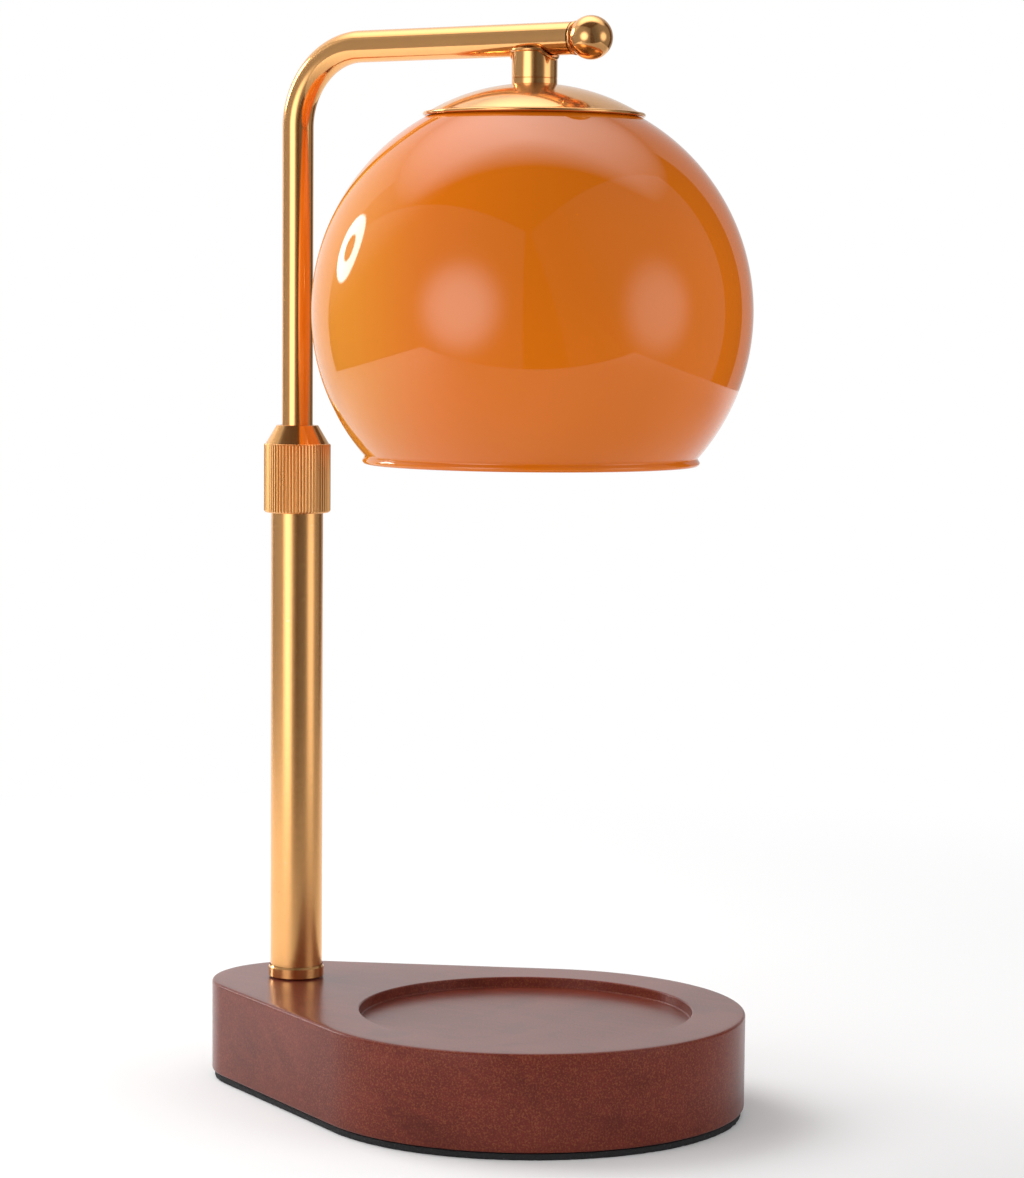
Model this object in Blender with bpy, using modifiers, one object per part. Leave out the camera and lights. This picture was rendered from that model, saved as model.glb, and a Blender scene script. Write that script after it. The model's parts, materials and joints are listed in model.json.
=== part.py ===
"""Candle warmer lamp, modelled as an assembly of separate pieces.

A wooden base with a shallow round recess carries a two-stage pole. The upper
stage slides and turns in the lower one, and a knurled nut over a split collet
clamps it. The upper stage bends over into an arm, with a coped drop stub that
hangs a glass globe shade and its lamp over the recess.

Metres, +Z up. +X runs from the pole to the recess. The origin is the bottom
centre of the base.
"""

from math import acos, asin, cos, pi, radians, sin, sqrt

import bmesh
import bpy
from mathutils import Matrix

# Clearances and cutting
GAP = 0.0003
RUNNING_GAP = 0.0004
OVERRUN = 0.004
WELD = 0.000001

# Base
WOOD_THICKNESS = 0.0300
BASE_BIG_R = 0.0693
BASE_SMALL_R = 0.0312
BASE_SMALL_SHIFT = 0.0047
POLE_TO_RECESS = 0.0910
WOOD_EDGE_R = 0.0008
RECESS_R = 0.0524
RECESS_DEPTH = 0.0034
RECESS_FILLET = 0.0008
PAD_THICKNESS = 0.0020
PAD_INSET = 0.0008

# Cavity under the pole
CAVITY_R = 0.0170
CAVITY_ROOF = 0.0100
LEAD_HOLE_HEIGHT = 0.0097
BUSHING_R = 0.0037
BUSHING_FLANGE_R = 0.0050
BUSHING_FLANGE = 0.0010
BUSHING_SET_BACK = 0.0006
BUSHING_REACH = 0.0005

# Threaded rod, nuts and washers
ROD_R = 0.0050
ROD_BORE_R = 0.0032
ROD_TAIL = 0.0015
HEX_FLATS = 0.0140
BASE_NUT_HEIGHT = 0.0050
SHADE_NUT_HEIGHT = 0.0038
BRACKET_NUT_HEIGHT = 0.0030
HEX_CHAMFER = 0.0006
WASHER_R = 0.0120
WASHER_THICKNESS = 0.0015
SPRING_WASHER_R = 0.0086
SPRING_WASHER_THICKNESS = 0.0016
SPRING_WASHER_SLIT = 0.0012

# Lower tube and its foot
LOWER_TUBE_R = 0.0085
LOWER_TUBE_WALL = 0.0011
LOWER_TUBE_LENGTH = 0.1570
FOOT_RING_R = 0.0091
FOOT_RING_HEIGHT = 0.0039
FOOT_RING_CHAMFER = 0.0006
FOOT_PLUG_HEIGHT = 0.0120

# Clamp
CLAMP_SPIGOT = 0.0130
CLAMP_SHOULDER_R = 0.0084
CLAMP_SHOULDER = 0.0012
CLAMP_THREAD_R = 0.0079
CLAMP_THREAD = 0.0120
THREAD_CLEARANCE = 0.0003
COLLET_SMALL_WALL = 0.0007
COLLET_LARGE_WALL = 0.0018
COLLET_LOWER_TAPER = 0.0060
COLLET_WAIST = 0.0010
COLLET_UPPER_TAPER = 0.0050
COLLET_SLIT = 0.0014
COLLET_SLITS = 6
COLLET_BRIDGE = 0.0030
NUT_HEIGHT = 0.0283
NUT_SKIRT = 0.0044
NUT_RIDGE_R = 0.0108
NUT_VALLEY_R = 0.01035
NUT_CONE_FOOT_R = 0.0103
NUT_CONE_TOP_R = 0.0067
NUT_CONE_HEIGHT = 0.0060
NUT_BOTTOM_ROUND = 0.0010
NUT_RIBS = 60
RIB_CREST_SHARE = 0.42

# Arm
ARM_R = 0.0050
ARM_WALL = 0.0010
ARM_HEIGHT = 0.3336
ARM_BEND_R = 0.0250
ARM_TUCK = 0.0880
GUIDE_LIP = 0.0020
GUIDE_SLEEVE = 0.0100
BALL_R = 0.0067
BALL_BEYOND_STUB = 0.0204
BALL_COLLAR_R = 0.0052
BALL_COLLAR = 0.0016
BALL_SPIGOT = 0.0080
STUB_R = 0.0070
STUB_SHOULDER_DROP = 0.0027
STUB_ROUND = 0.0012
STUB_HEIGHT = 0.0090
STUB_COLLAR = 0.0013
STUB_WEB = 0.0030
SADDLE_BEAD_R = 0.0006

# Shade and its fittings
SHADE_R = 0.0682
SHADE_WALL = 0.0025
SHADE_HOLE_R = 0.0140
SHADE_MOUTH_DROP_SHARE = 0.6486
SHADE_LIP_FLARE = 0.0006
SHADE_LIP_HEIGHT = 0.0026
SHADE_LIP_ROUND = 0.0011
DOME_SHEET = 0.0006
DOME_R = 0.0344
DOME_TIGHTER = 0.0042
DOME_BEAD_R = 0.0006
DOME_LAND = 0.0006
GASKET_THICKNESS = 0.0012
GASKET_WIDTH = 0.0070
PLATE_THICKNESS = 0.0010
PLATE_MARGIN = 0.0010

# Lamp holder and bracket
STRAP_THICKNESS = 0.0012
STRAP_WIDTH = 0.0140
STRAP_BEND_R = 0.0020
HOLDER_R = 0.0140
HOLDER_HEIGHT = 0.0160
HOLDER_BELOW_NUT = 0.0066
HOLDER_EDGE = 0.0010
HOLDER_WAIST_R = 0.0120
HOLDER_WAIST_HEIGHT = 0.0060
LEG_BELOW_SCREW = 0.0040
SCREW_R = 0.0015
SCREW_DEPTH = 0.0045
SCREW_HEAD_R = 0.0028
SCREW_HEAD = 0.0016
SCREW_CLEARANCE = 0.0003
SOCKET_PITCH = 0.0100
SOCKET_DEPTH = 0.0090

# Reflector lamp
PIN_STEM_R = 0.0015
PIN_HEAD_R = 0.0025
PIN_HEAD = 0.0022
PIN_LENGTH = 0.0070
PIN_ROOT = 0.0030
CAP_R = 0.0123
CAP_NECK_R = 0.0100
CAP_HEIGHT = 0.0140
CAP_BORE_R = 0.0062
CAP_ROOF = 0.0060
REFLECTOR_R = 0.0250
REFLECTOR_DEPTH = 0.0310
REFLECTOR_GLASS = 0.0015
REFLECTOR_RIM = 0.0022
LENS_THICKNESS = 0.0016
LENS_CROWN = 0.0012
REFLECTOR_BOW_SHARE = 0.65
CAPSULE_R = 0.0048
CAPSULE_LENGTH = 0.0190

# Inner lead
LEAD_R = 0.0017
LEAD_BASE_TURN_R = 0.0046
LEAD_BASE_FALL = 0.0071
LEAD_ARM_TURN_R = 0.0046
LEAD_FORK = 0.0005
LEAD_POINTS = 6
COIL_R = 0.0050
COIL_TURNS = 5
COIL_POINTS_A_TURN = 8
COIL_FADE_SHARE = 0.25
CORE_R = 0.0008
CORE_SPREAD = 0.0040

# Facets
STEPS_RECESS = 40
STEPS_LARGE = 30
STEPS_MEDIUM = 20
STEPS_SMALL = 15
STEPS_TINY = 10

# Places that follow from the sizes
BASE_LEFT_REACH = BASE_SMALL_R - BASE_SMALL_SHIFT
BASE_RIGHT_REACH = POLE_TO_RECESS + BASE_BIG_R
POLE_X = (BASE_LEFT_REACH - BASE_RIGHT_REACH) / 2
RECESS_X = POLE_X + POLE_TO_RECESS
WOOD_BOTTOM = PAD_THICKNESS + GAP
WOOD_TOP = WOOD_BOTTOM + WOOD_THICKNESS
ROOF_Z = WOOD_TOP - CAVITY_ROOF
LEAD_HOLE_Z = WOOD_BOTTOM + LEAD_HOLE_HEIGHT
BUSHING_FACE_X = POLE_X - BASE_LEFT_REACH + BUSHING_SET_BACK
WASHER_Z = ROOF_Z - GAP - WASHER_THICKNESS
SPRING_WASHER_Z = WASHER_Z - GAP - SPRING_WASHER_THICKNESS
BASE_NUT_Z = SPRING_WASHER_Z - GAP - BASE_NUT_HEIGHT
BASE_ROD_Z = BASE_NUT_Z - ROD_TAIL
LOWER_TUBE_Z = WOOD_TOP + GAP
LOWER_TUBE_TOP = LOWER_TUBE_Z + LOWER_TUBE_LENGTH
LOWER_BORE_R = LOWER_TUBE_R - LOWER_TUBE_WALL
PLUG_R = LOWER_BORE_R - GAP
PLUG_TOP = LOWER_TUBE_Z + FOOT_PLUG_HEIGHT
CLAMP_BOTTOM = LOWER_TUBE_TOP - CLAMP_SPIGOT
CLAMP_TOP = LOWER_TUBE_TOP + GAP + CLAMP_SHOULDER + CLAMP_THREAD
CLAMP_BORE_R = ARM_R + RUNNING_GAP
COLLET_BORE_R = ARM_R + GAP
COLLET_SMALL_R = COLLET_BORE_R + COLLET_SMALL_WALL
COLLET_LARGE_R = COLLET_BORE_R + COLLET_LARGE_WALL
COLLET_Z = CLAMP_TOP - COLLET_LOWER_TAPER
COLLET_SHOULDER_Z = CLAMP_TOP + COLLET_WAIST
COLLET_TOP = COLLET_SHOULDER_Z + COLLET_UPPER_TAPER
NUT_Z = LOWER_TUBE_TOP - NUT_SKIRT
GUIDE_R = LOWER_BORE_R - GAP
LEAD_BORE_R = LEAD_R + GAP
ARM_BORE_R = ARM_R - ARM_WALL
ARM_TUBE_Z = NUT_Z + NUT_HEIGHT - ARM_TUCK
GUIDE_Z = ARM_TUBE_Z - GAP - GUIDE_LIP
BALL_X = RECESS_X + BALL_BEYOND_STUB
BALL_COLLAR_END_X = BALL_X - sqrt(BALL_R**2 - BALL_COLLAR_R**2)
ARM_END_X = BALL_COLLAR_END_X - BALL_COLLAR - GAP
DOME_CURVE_R = SHADE_R - DOME_TIGHTER
DOME_BEAD_AT_R = DOME_R - DOME_BEAD_R
DOME_BEAD_Z = sqrt((SHADE_R + GAP + DOME_BEAD_R) ** 2 - DOME_BEAD_AT_R**2)
DOME_CURVE_Z = DOME_BEAD_Z - sqrt(DOME_CURVE_R**2 - DOME_BEAD_AT_R**2)
LAND_R = STUB_R + DOME_LAND
STUB_TOP = ARM_HEIGHT - STUB_SHOULDER_DROP
STUB_Z = STUB_TOP - STUB_HEIGHT
COLLAR_Z = STUB_Z - GAP - STUB_COLLAR
DOME_TOP = COLLAR_Z - GAP
SHADE_CENTRE_HEIGHT = DOME_TOP - DOME_CURVE_Z - sqrt(DOME_CURVE_R**2 - LAND_R**2)
SHADE_FOOT_DROP = SHADE_R * SHADE_MOUTH_DROP_SHARE
SHADE_FOOT_R = sqrt(SHADE_R**2 - SHADE_FOOT_DROP**2)
SHADE_NECK_R = SHADE_FOOT_R - GAP
SHADE_LIP_R = SHADE_NECK_R + SHADE_LIP_FLARE
SADDLE_R = ARM_R + GAP
STUB_BORE_TOP = ARM_HEIGHT - SADDLE_R - STUB_WEB
TOP_ROD_TOP = STUB_BORE_TOP - GAP
SHADE_INNER_R = SHADE_R - SHADE_WALL
GASKET_OUTER_R = SHADE_INNER_R - GAP
GASKET_INNER_R = GASKET_OUTER_R - GASKET_THICKNESS
PLATE_OUTER_R = GASKET_INNER_R - GAP
PLATE_INNER_R = PLATE_OUTER_R - PLATE_THICKNESS
GASKET_HOLE_R = SHADE_HOLE_R + PLATE_MARGIN
GASKET_EDGE_R = GASKET_HOLE_R + GASKET_WIDTH
PLATE_R = GASKET_EDGE_R + PLATE_MARGIN
HEX_CORNER_R = HEX_FLATS / 2 / cos(pi / 6)
SHADE_NUT_TOP = SHADE_CENTRE_HEIGHT + sqrt(PLATE_INNER_R**2 - HEX_CORNER_R**2) - GAP
SHADE_NUT_Z = SHADE_NUT_TOP - SHADE_NUT_HEIGHT
STRAP_TOP = SHADE_NUT_Z - GAP
BRACKET_NUT_Z = STRAP_TOP - STRAP_THICKNESS - GAP - BRACKET_NUT_HEIGHT
TOP_ROD_Z = BRACKET_NUT_Z - ROD_TAIL
HOLDER_TOP = BRACKET_NUT_Z - HOLDER_BELOW_NUT
HOLDER_Z = HOLDER_TOP - HOLDER_HEIGHT
SCREW_Z = HOLDER_TOP - HOLDER_WAIST_HEIGHT - (HOLDER_HEIGHT - HOLDER_WAIST_HEIGHT) / 2
LAMP_CAP_TOP = HOLDER_Z - GAP
LAMP_CAP_Z = LAMP_CAP_TOP - CAP_HEIGHT
REFLECTOR_TOP = LAMP_CAP_Z - GAP
REFLECTOR_Z = REFLECTOR_TOP - REFLECTOR_DEPTH
COIL_Z = PLUG_TOP + GAP + LEAD_R
COIL_TOP = GUIDE_Z - GAP
FORK_Z = TOP_ROD_Z - LEAD_FORK


def clear_scene():
    """Empty the open file, so that the script can be run again."""
    for thing in list(bpy.data.objects):
        bpy.data.objects.remove(thing, do_unlink=True)
    for group in list(bpy.data.collections):
        bpy.data.collections.remove(group)


def make_collection(name):
    group = bpy.data.collections.new(name)
    bpy.context.scene.collection.children.link(group)
    return group


def make_material(name, colour, roughness, metallic=0.0, transmission=0.0):
    """A Principled material in one plain colour."""
    paint = bpy.data.materials.new(name)
    paint.use_nodes = True
    shader = paint.node_tree.nodes["Principled BSDF"]
    shader.inputs["Base Color"].default_value = (*colour, 1.0)
    shader.inputs["Roughness"].default_value = roughness
    shader.inputs["Metallic"].default_value = metallic
    shader.inputs["Transmission Weight"].default_value = transmission
    paint.diffuse_color = (*colour, 1.0)
    paint.roughness = roughness
    paint.metallic = metallic
    return paint


class Workshop:
    """Adds objects to the parts or to the cutters, and cuts one with the other."""

    def __init__(self):
        self.parts = make_collection("candle_warmer_lamp")
        self.cutters = make_collection("cutters")

    def place(self, name, data, location=(0.0, 0.0, 0.0), turn=(0.0, 0.0, 0.0), cutter=False):
        thing = bpy.data.objects.new(name, data)
        thing.location = location
        thing.rotation_euler = turn
        group = self.cutters if cutter else self.parts
        group.objects.link(thing)
        if cutter:
            thing.hide_render = True
            thing.display_type = "WIRE"
        return thing

    def turned(self, name, profile, steps, closed=True, **placing):
        """Revolve a profile of (radius, height) points, down its outer side, about Z."""
        mesh = bpy.data.meshes.new(name)
        count = len(profile)
        edges = [(i, i + 1) for i in range(count - 1)]
        if closed:
            edges.append((count - 1, 0))
        mesh.from_pydata([(r, 0.0, z) for r, z in profile], edges, [])
        thing = self.place(name, mesh, **placing)
        screw = thing.modifiers.new("turn", "SCREW")
        screw.steps = steps
        screw.render_steps = steps
        screw.use_merge_vertices = True
        screw.merge_threshold = WELD
        return thing

    def tube(self, name, points, radius, sides=8, loop=False, **placing):
        """A round bar along a line or a closed loop of points, as one welded mesh."""
        curve = bpy.data.curves.new(name, "CURVE")
        curve.dimensions = "3D"
        curve.bevel_depth = radius
        curve.bevel_resolution = sides // 2 - 2
        curve.use_fill_caps = not loop
        spline = curve.splines.new("POLY")
        spline.points.add(len(points) - 1)
        spline.use_cyclic_u = loop
        for point, place in zip(spline.points, points):
            point.co = (*place, 1.0)
        return self.welded(name, curve, **placing)

    def slab(self, name, outline, thickness, **placing):
        """A flat outline of (x, y) points, from its own height up by its thickness."""
        curve = bpy.data.curves.new(name, "CURVE")
        curve.dimensions = "2D"
        curve.fill_mode = "BOTH"
        curve.extrude = thickness / 2
        spline = curve.splines.new("POLY")
        spline.points.add(len(outline) - 1)
        spline.use_cyclic_u = True
        for point, (x, y) in zip(spline.points, outline):
            point.co = (x, y, 0.0, 1.0)
        thing = self.welded(name, curve, **placing)
        thing.data.transform(Matrix.Translation((0.0, 0.0, thickness / 2)))
        return thing

    def welded(self, name, curve, **placing):
        """Make a curve into a closed mesh whose flat faces are whole."""
        guide = self.place(name + "_guide", curve, **placing)
        bpy.context.view_layer.update()
        graph = bpy.context.evaluated_depsgraph_get()
        mesh = bpy.data.meshes.new_from_object(guide.evaluated_get(graph))
        mesh.name = name
        bpy.data.objects.remove(guide, do_unlink=True)
        bpy.data.curves.remove(curve)
        work = bmesh.new()
        work.from_mesh(mesh)
        bmesh.ops.remove_doubles(work, verts=work.verts, dist=WELD)
        bmesh.ops.dissolve_limit(work, angle_limit=radians(0.05), verts=work.verts, edges=work.edges)
        bmesh.ops.recalc_face_normals(work, faces=work.faces)
        work.to_mesh(mesh)
        work.free()
        return self.place(name, mesh, **placing)

    def block(self, name, size, **placing):
        """A box of a given size, centred on its own origin."""
        mesh = bpy.data.meshes.new(name)
        work = bmesh.new()
        bmesh.ops.create_cube(work, size=1.0, matrix=Matrix.Diagonal((*size, 1.0)))
        work.to_mesh(mesh)
        work.free()
        return self.place(name, mesh, **placing)

    def rod(self, name, radius, length, steps=STEPS_SMALL, **placing):
        """A solid cylinder that stands on its own origin."""
        mesh = bpy.data.meshes.new(name)
        work = bmesh.new()
        bmesh.ops.create_cone(
            work,
            cap_ends=True,
            segments=steps,
            radius1=radius,
            radius2=radius,
            depth=length,
            matrix=Matrix.Translation((0.0, 0.0, length / 2)),
        )
        work.to_mesh(mesh)
        work.free()
        return self.place(name, mesh, **placing)

    def combine(self, thing, tool, operation="DIFFERENCE"):
        """Cut, join or cross a piece with a tool, by an exact Boolean."""
        change = thing.modifiers.new(tool.name, "BOOLEAN")
        change.operation = operation
        change.solver = "EXACT"
        change.object = tool

    def finish(self, thing, paint, crease=35.0):
        """Apply the modifiers, set the material and shade round faces smooth."""
        bpy.context.view_layer.update()
        graph = bpy.context.evaluated_depsgraph_get()
        mesh = bpy.data.meshes.new_from_object(thing.evaluated_get(graph))
        thing.modifiers.clear()
        thing.data = mesh
        mesh.name = thing.name
        mesh.materials.clear()
        mesh.materials.append(paint)
        mesh.shade_smooth()
        mesh.set_sharp_from_angle(angle=radians(crease))
        return thing


def make_paints():
    return {
        "wood": make_material("red_brown_wood", (0.20, 0.06, 0.04), 0.35),
        "foam": make_material("black_foam", (0.01, 0.01, 0.01), 0.90),
        "gold": make_material("gold_plating", (0.80, 0.52, 0.22), 0.12, 1.0),
        "satin_gold": make_material("satin_gold_plating", (0.80, 0.52, 0.26), 0.22, 1.0),
        "steel": make_material("zinc_plated_steel", (0.55, 0.55, 0.56), 0.35, 1.0),
        "nylon": make_material("natural_nylon", (0.75, 0.73, 0.66), 0.45),
        "rubber": make_material("black_rubber", (0.02, 0.02, 0.02), 0.60),
        "lead": make_material("lead_sleeve", (0.60, 0.45, 0.25), 0.40),
        "silicone": make_material("clear_silicone", (0.70, 0.70, 0.68), 0.50),
        "shade": make_material("orange_glass", (0.62, 0.16, 0.02), 0.08),
        "ceramic": make_material("white_ceramic", (0.80, 0.78, 0.72), 0.40),
        "glass": make_material("clear_glass", (0.90, 0.92, 0.92), 0.03, 0.0, 1.0),
        "reflector": make_material("mirrored_glass", (0.85, 0.85, 0.86), 0.08, 1.0),
    }


def arc(centre, radius, start, end, count):
    """Points on an arc, both ends included."""
    cx, cy = centre
    turns = [start + (end - start) * i / (count - 1) for i in range(count)]
    return [(cx + radius * cos(t), cy + radius * sin(t)) for t in turns]


def teardrop(inset=0.0):
    """The base outline: a large and a small arc joined by their common tangents."""
    big = BASE_BIG_R - inset
    small = BASE_SMALL_R - inset
    small_x = POLE_X + BASE_SMALL_SHIFT
    touch = acos((small - big) / (RECESS_X - small_x))
    lean = pi - touch
    round_big = arc((RECESS_X, 0.0), big, lean - pi, pi - lean, 31)
    round_small = arc((small_x, 0.0), small, pi - lean, pi + lean, 13)
    return round_big + round_small


def sphere_points(radius, centre_z, start_r, end_r, count, upper_start=True, upper_end=True):
    """Profile points down a sphere, between two radii from its axis."""
    first = asin(start_r / radius)
    last = asin(end_r / radius)
    first = first if upper_start else pi - first
    last = last if upper_end else pi - last
    angles = [first + (last - first) * i / (count - 1) for i in range(count)]
    return [(radius * sin(a), centre_z + radius * cos(a)) for a in angles]


def washer_profile(outer, inner, height):
    return [(outer, height), (outer, 0.0), (inner, 0.0), (inner, height)]


def make_base(shop, paints):
    """Wooden base, its foam pad, and the bushing where the lead enters."""
    wood = shop.slab("wood_base", teardrop(), WOOD_THICKNESS, location=(0.0, 0.0, WOOD_BOTTOM))
    soften = wood.modifiers.new("rounded_edges", "BEVEL")
    soften.width = WOOD_EDGE_R
    soften.segments = 2
    soften.limit_method = "ANGLE"
    soften.angle_limit = radians(40.0)

    corner = (RECESS_R - RECESS_FILLET, RECESS_FILLET - RECESS_DEPTH)
    fillet = arc(corner, RECESS_FILLET, 0.0, -pi / 2, 3)
    profile = [(0.0, OVERRUN), (RECESS_R, OVERRUN)] + fillet + [(0.0, -RECESS_DEPTH)]
    place = (RECESS_X, 0.0, WOOD_TOP)
    recess = shop.turned("recess_cut", profile, STEPS_RECESS, closed=False, location=place, cutter=True)
    shop.combine(wood, recess)

    depth = ROOF_Z - WOOD_BOTTOM + OVERRUN
    place = (POLE_X, 0.0, WOOD_BOTTOM - OVERRUN)
    cavity = shop.rod("cavity_cut", CAVITY_R, depth, STEPS_LARGE, location=place, cutter=True)
    shop.combine(wood, cavity)

    depth = CAVITY_ROOF + 2 * OVERRUN
    place = (POLE_X, 0.0, ROOF_Z - OVERRUN)
    rod_hole = shop.rod("rod_hole_cut", ROD_R + GAP, depth, location=place, cutter=True)
    shop.combine(wood, rod_hole)

    sideways = (0.0, pi / 2, 0.0)
    end_x = POLE_X - BASE_LEFT_REACH
    depth = BASE_LEFT_REACH + OVERRUN
    place = (end_x - OVERRUN, 0.0, LEAD_HOLE_Z)
    lead_hole = shop.rod("lead_hole_cut", BUSHING_R + GAP, depth, location=place, turn=sideways, cutter=True)
    shop.combine(wood, lead_hole)
    depth = OVERRUN + BUSHING_SET_BACK + BUSHING_FLANGE + GAP
    seat = shop.rod("flange_seat_cut", BUSHING_FLANGE_R + GAP, depth, location=place, turn=sideways, cutter=True)
    shop.combine(wood, seat)
    shop.finish(wood, paints["wood"])

    pad = shop.slab("base_pad", teardrop(PAD_INSET), PAD_THICKNESS)
    shop.finish(pad, paints["foam"])

    length = BASE_LEFT_REACH - BUSHING_SET_BACK - CAVITY_R + BUSHING_REACH
    profile = [
        (BUSHING_R, length),
        (BUSHING_R, BUSHING_FLANGE),
        (BUSHING_FLANGE_R, BUSHING_FLANGE),
        (BUSHING_FLANGE_R, 0.0),
        (LEAD_BORE_R, 0.0),
        (LEAD_BORE_R, length),
    ]
    place = (BUSHING_FACE_X, 0.0, LEAD_HOLE_Z)
    bushing = shop.turned("cord_bushing", profile, STEPS_SMALL, location=place, turn=sideways)
    shop.finish(bushing, paints["rubber"])


def make_hex_nut(shop, name, height, place, paint):
    """A hexagon nut with chamfered corners and a plain bore."""
    nut = shop.rod(name, HEX_CORNER_R, height, 6, location=place)
    inner = ROD_R + GAP
    flat = HEX_FLATS / 2
    profile = [
        (flat, height),
        (HEX_CORNER_R + GAP, height - HEX_CHAMFER),
        (HEX_CORNER_R + GAP, HEX_CHAMFER),
        (flat, 0.0),
        (inner, 0.0),
        (inner, height),
    ]
    form = shop.turned(name + "_form", profile, STEPS_SMALL, location=place, cutter=True)
    shop.combine(nut, form, "INTERSECT")
    return shop.finish(nut, paint)


def make_pole_foot(shop, paints):
    """Threaded rod through the base, with its washers, nut, plug and foot ring."""
    height = PLUG_TOP - BASE_ROD_Z
    profile = washer_profile(ROD_R, ROD_BORE_R, height)
    rod = shop.turned("base_rod", profile, STEPS_SMALL, location=(POLE_X, 0.0, BASE_ROD_Z))
    shop.finish(rod, paints["steel"])

    profile = washer_profile(WASHER_R, ROD_R + GAP, WASHER_THICKNESS)
    washer = shop.turned("base_washer", profile, STEPS_MEDIUM, location=(POLE_X, 0.0, WASHER_Z))
    shop.finish(washer, paints["steel"])

    place = (POLE_X, 0.0, SPRING_WASHER_Z)
    profile = washer_profile(SPRING_WASHER_R, ROD_R + GAP, SPRING_WASHER_THICKNESS)
    spring = shop.turned("spring_washer", profile, STEPS_SMALL, location=place)
    size = (2 * SPRING_WASHER_R, SPRING_WASHER_SLIT, 4 * SPRING_WASHER_THICKNESS)
    slit_place = (POLE_X + SPRING_WASHER_R, 0.0, SPRING_WASHER_Z)
    slit = shop.block("spring_washer_slit", size, location=slit_place, turn=(radians(25.0), 0.0, 0.0), cutter=True)
    shop.combine(spring, slit)
    shop.finish(spring, paints["steel"])

    make_hex_nut(shop, "base_nut", BASE_NUT_HEIGHT, (POLE_X, 0.0, BASE_NUT_Z), paints["steel"])

    bore = ROD_R + GAP
    profile = washer_profile(PLUG_R, bore, FOOT_PLUG_HEIGHT)
    plug = shop.turned("foot_plug", profile, STEPS_MEDIUM, location=(POLE_X, 0.0, LOWER_TUBE_Z))
    shop.finish(plug, paints["steel"])

    bore = LOWER_TUBE_R + GAP
    profile = [
        (FOOT_RING_R - FOOT_RING_CHAMFER / 2, FOOT_RING_HEIGHT),
        (FOOT_RING_R, FOOT_RING_HEIGHT - FOOT_RING_CHAMFER),
        (FOOT_RING_R, GAP),
        (FOOT_RING_R - GAP, 0.0),
        (bore, 0.0),
        (bore, FOOT_RING_HEIGHT),
    ]
    ring = shop.turned("foot_ring", profile, STEPS_LARGE, location=(POLE_X, 0.0, LOWER_TUBE_Z))
    shop.finish(ring, paints["gold"])

    profile = washer_profile(LOWER_TUBE_R, LOWER_BORE_R, LOWER_TUBE_LENGTH)
    tube = shop.turned("lower_tube", profile, STEPS_LARGE, location=(POLE_X, 0.0, LOWER_TUBE_Z))
    shop.finish(tube, paints["satin_gold"])


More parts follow.
